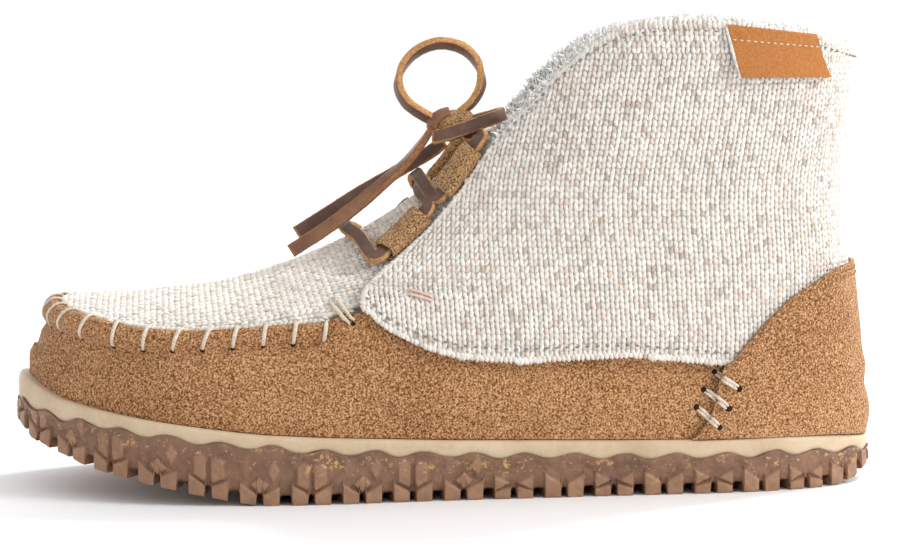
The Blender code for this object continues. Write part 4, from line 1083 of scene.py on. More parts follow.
def stitch_pull(angle, d):
    """How far the seam is drawn in at a place on the column, by the nearest whip stitches."""
    folded = angle if angle <= math.pi else 2 * math.pi - angle
    here = last(np.array([folded]), np.array([RIDGE_ROW]))[0]
    gap = np.linalg.norm(HOLE_POINTS - here, axis=1).min()
    near = math.exp(-(gap / 1.7) ** 2)
    crest, hole = np.exp(-((d - 2.4) / 2.2) ** 2), np.exp(-((d - STITCH_HOLE_DROP) / 1.4) ** 2)
    return near * (0.55 * crest + 0.75 * hole)


def up_column(angle, start, distances):
    """Rows at distances above a row on the column of one angle."""
    rows = np.linspace(start, start + 2.5, 120)
    return np.interp(distances, run_along(last(np.full(len(rows), angle), rows)), rows)


def add_upper():
    angles = 2 * math.pi * np.arange(UPPER_COLUMNS) / UPPER_COLUMNS
    tops = upper_top(angles)
    edge_x = last(angles, tops)[:, 0]
    fades = seam_fade(edge_x)
    fine = np.linspace(0.0, RIDGE_PROFILE[-1, 0], 22)
    columns, faces = [], []
    for angle, top, fade in zip(angles, tops, fades):
        rows, total = down_column(angle, top, fine)
        lower = np.linspace(fine[-1], total, 13)[1:]
        low_rows, _ = down_column(angle, top, lower)
        lift = table(RIDGE_PROFILE, fine) * RIDGE_PROUD * fade
        lift = lift - stitch_pull(angle, fine) * fade
        outer = skin(np.full(len(fine), angle), rows, WALL + lift)
        sway = 0.28 * np.sin(3.0 * angle + 0.16 * lower)
        sway = sway * np.sin(math.pi * (lower - fine[-1]) / (total - fine[-1]))
        wall = skin(np.full(len(lower), angle), low_rows, WALL + sway)
        wall[-1, 2] = band_top(wall[-1, 0]) + 0.15
        tuck = wall[-1:].copy()
        faces.append(np.vstack([outer, wall]))
        foot = last(np.array([angle]), np.array([0.0]))[0]
        out = normals(np.array([angle]), np.array([0.0]))[0]
        plan = unit(np.array([out[0], out[1], 0.0]))
        rim = foot - plan * FLANGE
        rim_z = band_top(rim[0]) + GAP
        under = foot.copy()
        under[2] = band_top(foot[0]) + GAP
        inner_rows, _ = down_column(angle, top, np.linspace(total, 0.0, UPPER_INNER_ROWS + 1)[1:])
        inner = skin(angle, inner_rows, np.zeros(UPPER_INNER_ROWS))
        tail = [under, [rim[0], rim[1], rim_z], [rim[0], rim[1], rim_z + FLANGE_WALL],
                [foot[0], foot[1], band_top(foot[0]) + GAP + FLANGE_WALL]]
        columns.append(np.vstack([outer, wall[:-1], tuck, tail, inner]))
    grid = np.array(columns)
    polys = [loop_quads(*grid.shape[:2])]
    mesh = solid("upper_suede", grid, polys, [TAN_SUEDE, FLEECE], "tan_suede", ("upper",), sharp=70).data
    rows = np.array([v for polygon in mesh.polygons for v in polygon.vertices]).reshape(-1, 4) % grid.shape[1]
    lined = rows.min(1) >= grid.shape[1] - UPPER_INNER_ROWS
    mesh.polygons.foreach_set("material_index", lined.astype(int))
    faces.append(faces[0])
    return np.array(faces)


upper_outer = add_upper()

# Plug and tongue, shaft: ground surfaces


def plug_grid(columns, rows_count, offset_edge, offset_middle):
    """Points of the plug and tongue, thinner along their two long edges."""
    across = np.linspace(-1.0, 1.0, columns)
    turn = across * 0.65 + 0.35 * np.sin(across * math.pi / 2)
    rows = np.linspace(3.08, TONGUE_TOP, rows_count)
    edge = 1.0 - smooth(0.86, 1.0, np.abs(turn)) * 0.5
    offsets = offset_edge + (offset_middle - offset_edge) * edge
    return np.array([skin(-t * tongue_angle(rows), rows, offset) for t, offset in zip(turn, offsets)])


def shaft_patch(s, r):
    """Angles and rows on the shaft for one column: s from the outer front edge round the heel
    to the inner front edge, r from the lower edge to the collar."""
    side = s if s <= 0.5 else 1.0 - s
    corner_row, throat_row = THROAT_EDGE[0, 0], THROAT_EDGE[-1, 0]
    low, high = SHAFT_LOW(side), SHAFT_HIGH(side)
    drop = INNER_DROP * float(smooth(0.5, 0.7, s)) * r * r
    v = corner_row + (throat_row - corner_row) * r - drop
    front_angle, front_row = throat_angle(v), v + drop
    low0, high0 = SHAFT_LOW(0.0), SHAFT_HIGH(0.0)
    fade = max(1.0 - 2.0 * side / 0.85, 0.0) ** 1.5
    angle = (1 - r) * low[0] + r * high[0] + fade * (front_angle - (1 - r) * low0[0] - r * high0[0])
    row = (1 - r) * low[1] + r * high[1] + fade * (front_row - (1 - r) * low0[1] - r * high0[1])
    return (angle if s <= 0.5 else 2 * math.pi - angle), row - drop


def edge_lookup(start, height, low, high):
    """Function from a share of the way round (0 to 0.5) to the angle and row on an edge."""
    spots = np.linspace(0.0, 0.5, 160)
    angles = start + (math.pi - start) * 2.0 * spots
    rows = rows_at(angles, height, low, high, 500)
    return lambda side: (float(np.interp(side, spots, angles)), float(np.interp(side, spots, rows)))


SHAFT_LOW = edge_lookup(float(throat_angle(THROAT_EDGE[0, 0])[0]), knit_edge, 1.0, 5.0)
SHAFT_HIGH = edge_lookup(float(throat_angle(THROAT_EDGE[-1, 0])[0]), collar_edge, 6.0, TOP_ROW)


def shaft_grid(columns, rows_count, offset):
    r = np.linspace(0.0, 1.0, rows_count)
    grid = []
    for s in np.linspace(0.0, 1.0, columns):
        angle, row = shaft_patch(float(s), r)
        grid.append(skin(angle, row, np.full(rows_count, offset)))
    grid = np.array(grid)
    for _ in range(rows_count // 5):
        grid[:, 1:-1] = (grid[:, :-2] + 2.0 * grid[:, 1:-1] + grid[:, 2:]) / 4.0
    return grid


GROUND_SINK = 0.75      # the ground lies this much under the stitches' faces
ANKLE_X = 70.0          # faces of the shaft that look towards the ankle's axis are lined
plug_outer = plug_grid(90, 130, 0.15, PLUG_WALL - 0.1)
shaft_outer = shaft_grid(200, 80, KNIT_OUT)


def surface_tree(grid):
    columns, rows = grid.shape[:2]
    points = [tuple(p) for p in grid.reshape(-1, 3)]
    return BVHTree.FromPolygons(points, grid_quads(columns, rows).tolist())


def add_grounds():
    # both grounds wear the knit colour that is painted darker as the shade between the stitches
    points, quads = shell(plug_grid(70, 90, 0.1, PLUG_WALL - GROUND_SINK), plug_grid(70, 90, 0.0, 0.0))
    solid("plug_ground", points, [quads], KNIT_GROUND_PAINTED_SHADE, "melange_knit", ("plug_tongue",))
    points, quads = shell(shaft_grid(150, 50, KNIT_OUT - GROUND_SINK), shaft_grid(150, 50, KNIT_IN))
    mesh = solid("shaft_ground", points, [quads], [KNIT_GROUND_PAINTED_SHADE, FLEECE], "melange_knit", ("shaft",)).data
    lined = []
    for poly in mesh.polygons:
        p, n = poly.center / MM, poly.normal
        lined.append(int(n.x * (p.x - ANKLE_X) + n.y * p.y < 0.0))
    mesh.polygons.foreach_set("material_index", lined)


add_grounds()

# Knit stitches

WALE = 3.0
COURSE = 1.85
BORDER_PITCH = 1.5
TINTS = np.array([(0.88, 0.84, 0.78), (0.85, 0.80, 0.73), (0.78, 0.71, 0.64),
                  (0.62, 0.54, 0.46), (0.84, 0.71, 0.63), (0.70, 0.67, 0.63)])
TINT_ODDS = [0.48, 0.25, 0.12, 0.04, 0.06, 0.05]


def lobe():
    """One leg of a stitch: a pointed bead, long along its first axis."""
    rings, sides = [(-0.36, 0.93), (0.36, 0.93)], 6
    points = [(-1.0, 0.0, 0.0)]
    for x, r in rings:
        for k in range(sides):
            a = 2 * math.pi * k / sides
            points.append((x, r * math.cos(a), r * math.sin(a)))
    points.append((1.0, 0.0, 0.0))
    quads, tris = [], []
    for k in range(sides):
        n = (k + 1) % sides
        tris.append((0, 1 + n, 1 + k))
        for ring in range(len(rings) - 1):
            a, b = 1 + ring * sides, 1 + (ring + 1) * sides
            quads.append((a + k, a + n, b + n, b + k))
        top = 1 + (len(rings) - 1) * sides
        tris.append((top + k, top + n, len(points) - 1))
    return np.array(points), np.array(quads), np.array(tris)


LOBE = lobe()


def lobe_polys(count):
    """Quads and triangles of a number of joined beads."""
    shift = (np.arange(count) * len(LOBE[0]))[:, None, None]
    return [(faces + shift).reshape(-1, faces.shape[1]) for faces in LOBE[1:]]


def stitches(name, centres, across, along, out, rng, stretch=1.0, limit=5200):
    """V stitches at the given places as joined meshes of beads, in pieces under the limit."""
    count = len(centres)
    stretch = np.broadcast_to(stretch, count)
    parts = int(math.ceil(2 * count / limit))
    for number in range(parts):
        pick = np.arange(number * count // parts, (number + 1) * count // parts)
        c, a, b, n = centres[pick], across[pick], along[pick], out[pick]
        legs_points, legs_tint = [], []
        for sign in (-1.0, 1.0):
            jitter = rng.normal(0.0, 1.0, (len(pick), 6))
            lean = 0.30 + 0.05 * jitter[:, 0]
            axis = unit(b + a * (sign * lean)[:, None])
            wide = unit(np.cross(n, axis))
            middle = c + a * (sign * WALE * 0.235 + 0.06 * jitter[:, 1])[:, None]
            middle = middle + b * (0.07 * jitter[:, 2])[:, None] + n * (-0.62 + 0.06 * jitter[:, 3])[:, None]
            long = COURSE * stretch[pick] * (0.82 + 0.06 * jitter[:, 4])
            thick = WALE * (0.245 + 0.018 * jitter[:, 5])
            points = (middle[:, None] + axis[:, None] * (LOBE[0][None, :, :1] * long[:, None, None])
                      + wide[:, None] * (LOBE[0][None, :, 1:2] * thick[:, None, None])
                      + n[:, None] * (LOBE[0][None, :, 2:] * 0.62))
            legs_points.append(points)
            pick_tint = TINTS[rng.choice(len(TINTS), len(pick), p=TINT_ODDS)]
            legs_tint.append(pick_tint * (1.0 + 0.05 * jitter[:, 0:1]))
        points = np.concatenate(legs_points)
        tint = np.clip(np.concatenate(legs_tint), 0.0, 0.95)
        solid("%s_%d" % (name, number + 1), points, lobe_polys(len(points)), YARN, "melange_knit",
              tint=np.repeat(tint, len(LOBE[0]), axis=0))


SHAFT_AXIS_X = 66.0
SHAFT_REACH = 130.0
PLUG_REACH = 80.0
LEAST_HITS = 4


def wale_marks(steps):
    """Marks a wale apart, counted from step 0."""
    return np.arange(math.ceil(steps[0] / WALE), math.floor(steps[-1] / WALE) + 1) * WALE


def shaft_rows():
    """Slices of the shaft a course apart: steps from the heel's middle, points, normals and gaps."""
    tree = surface_tree(shaft_outer)
    for z in np.arange(38.6, 146.0, COURSE):
        hits = []
        for t in np.radians(np.arange(-178.0, 178.0, 0.5)):
            way = Vector((math.cos(t), math.sin(t), 0.0))
            start = Vector((SHAFT_AXIS_X, 0.0, z)) + way * SHAFT_REACH
            spot, normal, _, _ = tree.ray_cast(start, -way, SHAFT_REACH)
            if spot is not None:
                hits.append((t, tuple(spot), tuple(normal)))
        if len(hits) < LEAST_HITS:
            continue
        angles, points, outs = (np.array(column) for column in zip(*hits))
        steps = run_along(points)
        steps = steps - float(np.interp(0.0, angles, steps))
        jumps = np.diff(angles) > math.radians(9.0)
        yield steps, points, outs, zip(steps[:-1][jumps], steps[1:][jumps])


def shaft_stitches():
    rng = np.random.default_rng(11)
    centres, across, outs = [], [], []
    for steps, points, normal, gaps in shaft_rows():
        marks = wale_marks(steps)
        for low, high in gaps:
            marks = marks[(marks < low) | (marks > high)]
        p = sample(marks, steps, points)
        n = unit(sample(marks, steps, normal))
        radial = (p - np.array([SHAFT_AXIS_X, 0.0, 0.0])) * np.array([1.0, 1.0, 0.0])
        centres.append(p)
        across.append(unit(sample(marks + 0.8, steps, points) - sample(marks - 0.8, steps, points)))
        outs.append(np.where((n * radial).sum(1, keepdims=True) < 0, -n, n))
    centres, across, outs = np.vstack(centres), np.vstack(across), np.vstack(outs)
    across = unit(across - outs * (across * outs).sum(1, keepdims=True))
    along = unit(np.cross(outs, across))
    along = np.where(along[:, 2:] < 0, -along, along)
    # where the surface leans, slices lie further apart along it: longer stitches or several
    stretch = 1.0 / np.maximum(along[:, 2], 0.2)
    parts = np.round(stretch).astype(int)
    pick = np.repeat(np.arange(len(parts)), parts)
    share = (np.concatenate([np.arange(k) for k in parts]) + 0.5) / parts[pick] - 0.5
    centres = centres[pick] + along[pick] * (share * stretch[pick] * COURSE)[:, None]
    stretch = stretch[pick] / parts[pick]
    stitches("shaft_stitches", centres, across[pick], along[pick], outs[pick], rng, stretch)


def plug_stitches():
    rng = np.random.default_rng(12)
    tree = surface_tree(plug_outer)
    middle = plug_outer[plug_outer.shape[0] // 2]
    steps = run_along(middle)
    centres, outs, alongs = [], [], []
    for mark in np.arange(COURSE * 0.5, steps[-1], COURSE):
        top = sample(mark, steps, middle)
        way = sample(mark + 3.0, steps, middle) - sample(mark - 3.0, steps, middle)
        way[1] = 0.0
        way = unit(way)
        up = np.array([-way[2], 0.0, way[0]])
        hub = top - up * 34.0
        hub[1] = 2.0
        hits = []
        for t in np.radians(np.arange(-100.0, 100.0, 0.8)):
            ray = up * math.cos(t) + np.array([0.0, 1.0, 0.0]) * math.sin(t)
            spot, normal, _, _ = tree.ray_cast(Vector(hub + ray * PLUG_REACH), -Vector(ray), PLUG_REACH)
            if spot is not None:
                hits.append((tuple(spot), tuple(normal), tuple(ray), t))
        if len(hits) < LEAST_HITS:
            continue
        points, n, rays, turns = (np.array(column) for column in zip(*hits))
        n = np.where((n * rays).sum(1, keepdims=True) < 0, -n, n)
        lengths = run_along(points)
        lengths = lengths - float(np.interp(0.0, turns, lengths))
        spots = wale_marks(lengths)
        centres.append(sample(spots, lengths, points))
        outs.append(unit(sample(spots, lengths, n)))
        alongs.append(np.tile(way, (len(spots), 1)))
    centres, outs, alongs = np.vstack(centres), np.vstack(outs), np.vstack(alongs)
    alongs = unit(alongs - outs * (alongs * outs).sum(1, keepdims=True))
    stitches("plug_stitches", centres, unit(np.cross(alongs, outs)), alongs, outs, rng)


shaft_stitches()
plug_stitches()

# Heel counter


def counter_grid(columns, rows_count, offset):
    low0 = float(angle_at(np.array([0.0]), COUNTER_FOOT_X)[0])
    tries = np.linspace(1.6, 2.6, 200)
    rows = rows_at(tries, counter_edge, 0.8, 5.5)
    high0 = float(tries[np.argmax(skin(tries, rows, np.full(200, KNIT_OUT))[:, 0] >= COUNTER_EDGE[0, 0])])
    grid = []
    for s in np.linspace(0.0, 1.0, columns):
        side = min(s, 1.0 - s) * 2.0
        foot_angle = low0 + (math.pi - low0) * side
        head_angle = high0 + (math.pi - high0) * side
        head_row = rows_at(np.array([head_angle]), counter_edge, 0.8, 5.5, 500)[0]
        r = np.linspace(0.0, 1.0, rows_count)
        angle, v = foot_angle + (head_angle - foot_angle) * r, head_row * r
        p = skin(angle, v, np.full(rows_count, KNIT_OUT))
        edge = knit_edge(p[:, 0])
        climb = smooth(0.0, 1.0, (p[:, 2] - edge + COUNTER_RAMP[0]) / (COUNTER_RAMP[0] - COUNTER_RAMP[1]))
        base = COUNTER_LOW + (COUNTER_HIGH - COUNTER_LOW) * climb
        if s > 0.5:
            angle = 2 * math.pi - angle
        points = skin(angle, v, base + offset)
        points[0, 2] = band_top(points[0, 0]) + 0.2
        grid.append(points)
    return np.array(grid)


counter_outer = counter_grid(140, 60, COUNTER_WALL)


def add_counter():
    points, quads = shell(counter_outer, counter_grid(140, 60, 0.0))
    solid("heel_counter_suede", points, [quads], TAN_SUEDE, "tan_suede", ("heel_counter",), sharp=60)


add_counter()

# Small pieces laid on the surfaces


def grid_normals(grid):
    """Unit normals of a grid of points, away from the foot."""
    normal = unit(np.cross(np.gradient(grid, axis=0), np.gradient(grid, axis=1)))
    away = (normal * (grid - np.array([60.0, 0.0, 50.0]))).sum(-1).mean()
    return -normal if away < 0 else normal


def edge_path(grid, distance, top=True):
    """Points and normals at a distance from a grid's top or bottom edge, column by column."""
    normal = grid_normals(grid)
    if top:
        grid, normal = grid[:, ::-1], normal[:, ::-1]
    points, out = [], []
    for column, n in zip(grid, normal):
        steps = run_along(column)
        points.append(sample(distance, steps, column))
        out.append(sample(distance, steps, n))
    return np.array(points), unit(np.array(out))


def along_path(points, normals, pitch, start=0.5):
    """Evenly spaced places on a line: centre, direction of the line, outward direction."""
    steps = run_along(points)
    marks = np.arange(start * pitch, steps[-1], pitch)

    def at(values, shift=0.0):
        return sample(marks + shift, steps, values)

    tangent = unit(at(points, 0.4) - at(points, -0.4))
    out = at(normals)
    return at(points), tangent, unit(out - tangent * (out * tangent).sum(1, keepdims=True))


def beads(name, centres, along, out, size, material, slot, tint=None, jitter=0.08, seed=5):
    """Joined pointed beads: half length, half width and half height in size."""
    rng = np.random.default_rng(seed)
    shake = 1.0 + rng.normal(0.0, jitter, (len(centres), 3))
    along = unit(along + rng.normal(0.0, jitter, along.shape))
    wide = unit(np.cross(out, along))
    body = LOBE[0]
    points = (centres[:, None] + along[:, None] * (body[None, :, :1] * size[0] * shake[:, None, :1])
              + wide[:, None] * (body[None, :, 1:2] * size[1] * shake[:, None, 1:2])
              + out[:, None] * (body[None, :, 2:] * size[2] * shake[:, None, 2:]))
    painted = {} if tint is None else {"tint": np.repeat(tint, len(body), axis=0)}
    return solid(name, points, lobe_polys(len(centres)), material, slot, **painted)


def yarns(name, paths, facings, width, thick, material, slot, sides=8):
    """Joined strands, each along its path, flat side outwards."""
    points, quads, caps = [], [], []
    base = 0
    turn = 2 * math.pi * np.arange(sides) / sides
    for path, facing in zip(paths, facings):
        path, facing = np.asarray(path, float), unit(np.asarray(facing, float))
        tangent = unit(np.gradient(path, axis=0))
        side = unit(np.cross(tangent, facing))
        up = np.cross(side, tangent)
        slim = np.clip(np.sin(np.linspace(0.0, math.pi, len(path))), 0.0, 1.0) ** 0.3
        slim = np.maximum(slim, 0.35)[:, None, None]
        points.append(path[:, None] + side[:, None] * (np.cos(turn) * width / 2)[None, :, None] * slim
                      + up[:, None] * (np.sin(turn) * thick / 2)[None, :, None] * slim)
        quads.append(loop_quads(len(path), sides, wrap=False) + base)
        caps.append(base + np.arange(sides))
        caps.append(base + (len(path) - 1) * sides + np.arange(sides)[::-1])
        base += len(path) * sides
    points = np.vstack([p.reshape(-1, 3) for p in points])
    return solid(name, points, [np.vstack(quads), np.array(caps)], material, slot)


def curved(points, facings, spacing=0.5):
    """A smooth strand through points, and its facing directions."""
    path, marks = smooth_route(points, spacing)
    known = shares(np.asarray(points, float))
    return path, unit(sample(marks / marks[-1], known, np.asarray(facings, float)))


SHAFT_TREE = surface_tree(shaft_outer)
SUEDE_TREES = [surface_tree(upper_outer), surface_tree(counter_outer), SHAFT_TREE, surface_tree(plug_outer)]


def on_side(trees, x, z, side=-1):
    """Outermost point and normal of surfaces at x and z, looking from one side."""
    best = None
    for tree in trees:
        spot, normal, _, _ = tree.ray_cast(Vector((x, side * 150.0, z)), Vector((0.0, -side, 0.0)), 150.0)
        if spot is not None and (best is None or spot.y * side > best[0][1] * side):
            n = np.array(normal)
            best = (np.array(spot), n if n[1] * side > 0 else -n)
    return best


def laid(trees, start, end, lift, side=-1, count=7, bow=0.35):
    """A strand over surfaces between two places given by x and z, its ends sunk in."""
    points, facings = [], []
    start, end = np.array(start), np.array(end)
    for t in np.linspace(0.0, 1.0, count):
        hit = on_side(trees, *(start + (end - start) * t), side)
        if hit is None:
            continue
        spot, normal = hit
        rise = lift + bow * math.sin(math.pi * t) - 1.1 * (abs(2 * t - 1) > 0.99)
        points.append(spot + normal * rise)
        facings.append(normal)
    return curved(points, facings)


def angle_below(high, drop, target):
    """Angle of the column whose point a drop below the seam's crest lies at the target x."""
    tries = np.linspace(max(high - 0.3, 0.0), high + 0.3, 49)
    rows = np.array([down_column(a, RIDGE_ROW, np.array([drop]))[0][0] for a in tries])
    x = skin(tries, rows, np.full(len(tries), WALL))[:, 0]
    return high + (float(np.interp(target, x, tries)) - high) * float(smooth(-117.0, -98.0, target))


def whip_pairs(mark, lean):
    """Angle, row and offset of the points of a whip stitch."""
    foot, crest = (float(np.interp(m, SEAM_STEPS, SEAM_POINTS[:, 0])) for m in (mark, mark + lean))
    high = float(np.interp(mark + lean, SEAM_STEPS, SEAM_ANGLES))
    mid = (high + angle_below(high, STITCH_HOLE_DROP, foot)) / 2
    pairs = []
    for d in (STITCH_HOLE_DROP + 0.1, STITCH_HOLE_DROP - 0.5, 5.2, 4.2, 3.2, 2.2, 1.3, 0.5):
        angle = angle_below(high, d, crest + (foot - crest) * d / STITCH_HOLE_DROP)
        row = float(down_column(angle, RIDGE_ROW, np.array([d]))[0][0])
        fade = seam_fade(float(last(np.array([angle]), np.array([RIDGE_ROW]))[0, 0]))
        lift = float(table(RIDGE_PROFILE, d)) * RIDGE_PROUD * fade
        lift -= float(stitch_pull(mid, np.array([d]))[0]) * fade
        pairs.append((angle, row, WALL + lift + (0.4 if d < STITCH_HOLE_DROP else -0.5)))
    for d, rise in ((0.5, 2.8), (1.0, 2.0), (1.5, 0.6)):
        pairs.append((high, float(up_column(high, RIDGE_ROW, np.array([d]))[0]), rise))
    return pairs


def strand_at(pairs, side):
    """Points and outward directions of a stitch on the outer (-1) or inner (1) side."""
    angle = np.array([p[0] if side < 0 else 2 * math.pi - p[0] for p in pairs])
    row, rise = np.array([p[1] for p in pairs]), np.array([p[2] for p in pairs])
    return curved(skin(angle, row, rise), normals(angle, row))


SEAM_END_STITCH = [(-31.0, 54.6), (-37.8, 61.4)]
COUNTER_STITCHES = [((81.1, 37.2), (88.4, 32.2)), ((77.6, 31.9), (85.0, 26.3)), ((75.2, 26.6), (82.2, 20.6))]


def add_holes(name, holes, hole_out, size):
    """Flat dark beads on the suede where the needle holes are: painted shade of the holes."""
    holes, hole_out = np.array(holes), np.array(hole_out)
    along = unit(np.cross(hole_out, np.array([0.0, 0.0, 1.0])))
    beads(name, holes, along, hole_out, size, SHADOW, "tan_suede")


def add_seam_stitches():
    paths, facings, holes, hole_out = [], [], [], []
    for side in (-1, 1):
        for mark, lean in zip(STITCH_MARKS, STITCH_LEANS):
            path, facing = strand_at(whip_pairs(mark, lean), side)
            paths.append(path)
            facings.append(facing)
            holes.append(path[0] + facing[0] * 0.5)
            hole_out.append(facing[0])
        for shift in (-0.7, 0.7):
            start, end = ((x + shift, z + shift * 0.8) for x, z in SEAM_END_STITCH)
            path, facing = laid(SUEDE_TREES, start, end, 0.5, side, 9)
            paths.append(path)
            facings.append(facing)
        place, normal = on_side(SUEDE_TREES, -31.0, 54.4, side)
        holes.append(place + normal * 0.05)
        hole_out.append(normal)
    yarns("seam_stitches", paths, facings, 1.3, 0.9, CREAM_THREAD, "tan_suede")
    add_holes("seam_hole_shades", holes, hole_out, (1.0, 0.7, 0.3))


def add_counter_stitches():
    paths, facings, holes, hole_out = [], [], [], []
    for side in (-1, 1):
        for start, end in np.array(COUNTER_STITCHES):
            way = end - start
            across = np.array([-way[1], way[0]]) / np.linalg.norm(way) * 0.5
            for sign in (-1, 1):
                path, facing = laid(SUEDE_TREES, start + across * sign, end + across * sign, 0.45, side)
                paths.append(path)
                facings.append(facing)
            for spot in (start, end):
                place, normal = on_side(SUEDE_TREES, *spot, side)
                holes.append(place + normal * 0.05)
                hole_out.append(normal)
    yarns("counter_whip_stitches", paths, facings, 1.15, 0.9, CREAM_THREAD, "tan_suede")
    add_holes("counter_hole_shades", holes, hole_out, (1.2, 1.0, 0.25))
    for number, drop in enumerate((1.7, 3.6)):
        points, out = edge_path(counter_outer, drop)
        centre, tangent, normal = along_path(points, out, 2.5)
        beads("counter_row_%d" % (number + 1), centre + normal * 0.05, tangent, normal, (0.85, 0.36, 0.32),
              TAN_THREAD, "tan_suede")


def add_knit_stitching():
    for name, distance, top, long in (("hem_dashes", 4.0, False, 0.85), ("collar_dashes", 2.9, True, 0.8)):
        centre, tangent, normal = along_path(*edge_path(shaft_outer, distance, top), 3.15)
        beads(name, centre + normal * 0.12, tangent, normal, (long, 0.34, 0.4), GREY_THREAD, "melange_knit")
    rng = np.random.default_rng(21)
    grid, outs = shaft_outer, grid_normals(shaft_outer)
    edges = [
        ("hem_border", grid[:, 0], outs[:, 0], grid[:, 1] - grid[:, 0]),
        ("collar_border", grid[:, -1], outs[:, -1], grid[:, -2] - grid[:, -1]),
        ("throat_border_outer", grid[0], outs[0], grid[1] - grid[0]),
        ("throat_border_inner", grid[-1], outs[-1], grid[-2] - grid[-1]),
    ]
    plug, plug_out = plug_outer, grid_normals(plug_outer)
    edges += [
        ("plug_border_outer", plug[1], plug_out[1], plug[2] - plug[1]),
        ("plug_border_inner", plug[-2], plug_out[-2], plug[-3] - plug[-2]),
        ("plug_border_toe", plug[1:-1, 0], plug_out[1:-1, 0], plug[1:-1, 1] - plug[1:-1, 0]),
    ]
    for name, points, out, inward in edges:
        centre, _, normal = along_path(points, out, BORDER_PITCH)
        steps = run_along(points)
        marks = np.arange(BORDER_PITCH / 2, steps[-1], BORDER_PITCH)
        inside = unit(sample(marks, steps, unit(inward)))
        tint = TINTS[rng.choice(len(TINTS), len(centre), p=TINT_ODDS)]
        centre = centre + inside * 0.5 - normal * 0.75
        beads(name, centre, inside, normal, (1.5, 0.85, 0.85), YARN, "melange_knit", tint)


def add_bar_tack():
    paths, facings = [], []
    for side in (-1, 1):
        for lift in (-0.55, 0.55):
            path, facing = laid([SHAFT_TREE], (-15.2, 63.8 + lift), (-6.2, 61.4 + lift), 0.3, side)
            paths.append(path)
            facings.append(facing)
    yarns("bar_tacks", paths, facings, 0.95, 0.8, PINK_THREAD, "melange_knit")


add_seam_stitches()
add_counter_stitches()
add_knit_stitching()
add_bar_tack()

# Label

LABEL_CORNERS = [(83.0, 144.1), (111.6, 140.7), (114.9, 128.3), (86.9, 128.9)]
LABEL_WALL = 0.45
LABEL_FOLD_DROP = 0.6       # the fold starts this far below the collar's edge
LABEL_STITCH_ROW = 11


def label_place(u, v):
    """x and z on the label: u from its front to its back edge, v from its base to its top."""
    tl, tr, br, bl = (np.array(c) for c in LABEL_CORNERS)
    return (bl * (1 - u) + br * u) * (1 - v) + (tl * (1 - u) + tr * u) * v


def add_label():
    columns, rows = 34, 16
    rng = np.random.default_rng(8)
    fray = rng.normal(0.0, 0.16, columns)
    outer, inner = [], []
    for i in range(columns):
        u = i / (columns - 1)
        line, under = [], []
        for v in np.linspace(0.0, 1.0, rows):
            x, z = label_place(u, v)
            fold = collar_edge(x) - LABEL_FOLD_DROP
            spot, normal = on_side([SHAFT_TREE], x, min(z, fold))
            spot = spot + np.array([0.0, 0.0, max(z - fold, 0.0)])
            stand = 0.75 + 2.3 * (1.0 - v) ** 2 + 0.35 * math.sin(u * 6.0) * (1.0 - v)
            place = spot + normal * stand
            if v == 0.0:
                place = place + np.array([0.0, 0.0, fray[i]])
            line.append(place)
            under.append(place - normal * LABEL_WALL)
        top, normal = line[-1], unit(np.array([0.0, -1.0, 0.15]))
        for back, rise in ((0.9, 0.75), (2.2, 1.0), (3.6, 0.6)):
            line.append(top - normal * back + np.array([0.0, 0.0, rise]))
            under.append(top - normal * back + np.array([0.0, 0.0, rise - LABEL_WALL]))
        outer.append(line)
        inner.append(under)
    outer, inner = np.array(outer), np.array(inner)
    points, quads = shell(outer, inner)
    solid("label_twill", points, [quads], TWILL, "label_twill", ("label",), sharp=60)
    normal = np.tile(np.array([0.0, -1.0, 0.1]), (columns, 1))
    centre, tangent, out = along_path(outer[:, LABEL_STITCH_ROW], normal, 2.15)
    beads("label_dashes", centre + out * 0.1, tangent, out, (0.72, 0.24, 0.22), CREAM_THREAD, "label_twill",
          jitter=0.03)
    front = outer[0, :rows] + np.array([-0.5, 0.1, 0.0])
    facing = np.tile(np.array([-0.5, -0.9, 0.0]), (rows, 1))
    yarns("label_fold", [front], [facing], 1.0, 0.8, WOVEN_EDGE, "label_twill")


add_label()

# Fleece


COLLAR_LOCKS = 4600
LINING_LOCKS = 4200
INSOLE_PILE = 3.2
LINING_OUT = WALL - 0.7     # the lining's outer face, under the knit


def locks(name, bases, ways, lengths, seed, replaces=()):
    """Short curled locks of wool: tapered strands with a bent tip."""
    rng = np.random.default_rng(seed)
    count, rings, sides = len(bases), 4, 3
    ways = unit(ways)
    curl = unit(np.cross(ways, rng.normal(0.0, 1.0, ways.shape)))
    side = unit(np.cross(ways, curl))
    t = np.linspace(0.0, 1.0, rings)
    swing = rng.uniform(0.5, 1.5, count)
    phase = rng.uniform(0.0, 6.28, count)
    points = np.zeros((count, rings, sides, 3))
    for k in range(rings):
        bend = lengths * 0.32 * swing * t[k] ** 2
        twist = lengths * 0.12 * np.sin(t[k] * 5.0 + phase)
        centre = bases + ways * (lengths * t[k] * (1.0 - 0.2 * t[k]))[:, None]
        centre = centre + curl * bend[:, None] + side * twist[:, None]
        radius = (0.95 - 0.75 * t[k] ** 1.5) * rng.uniform(0.85, 1.15, count)
        for j in range(sides):
            a = 2 * math.pi * j / sides
            points[:, k, j] = centre + (curl * math.cos(a) + side * math.sin(a)) * radius[:, None]
    quads = loop_quads(rings, sides, wrap=False)
    shift = (np.arange(count) * rings * sides)[:, None, None]
    tip = np.arange(sides) + (rings - 1) * sides
    polys = [(quads + shift).reshape(-1, 4), (tip[None] + shift).reshape(-1, sides)]
    mesh = mesh_from(name, points, polys)
    return piece(name, mesh, FLEECE, "lining_pile", replaces)


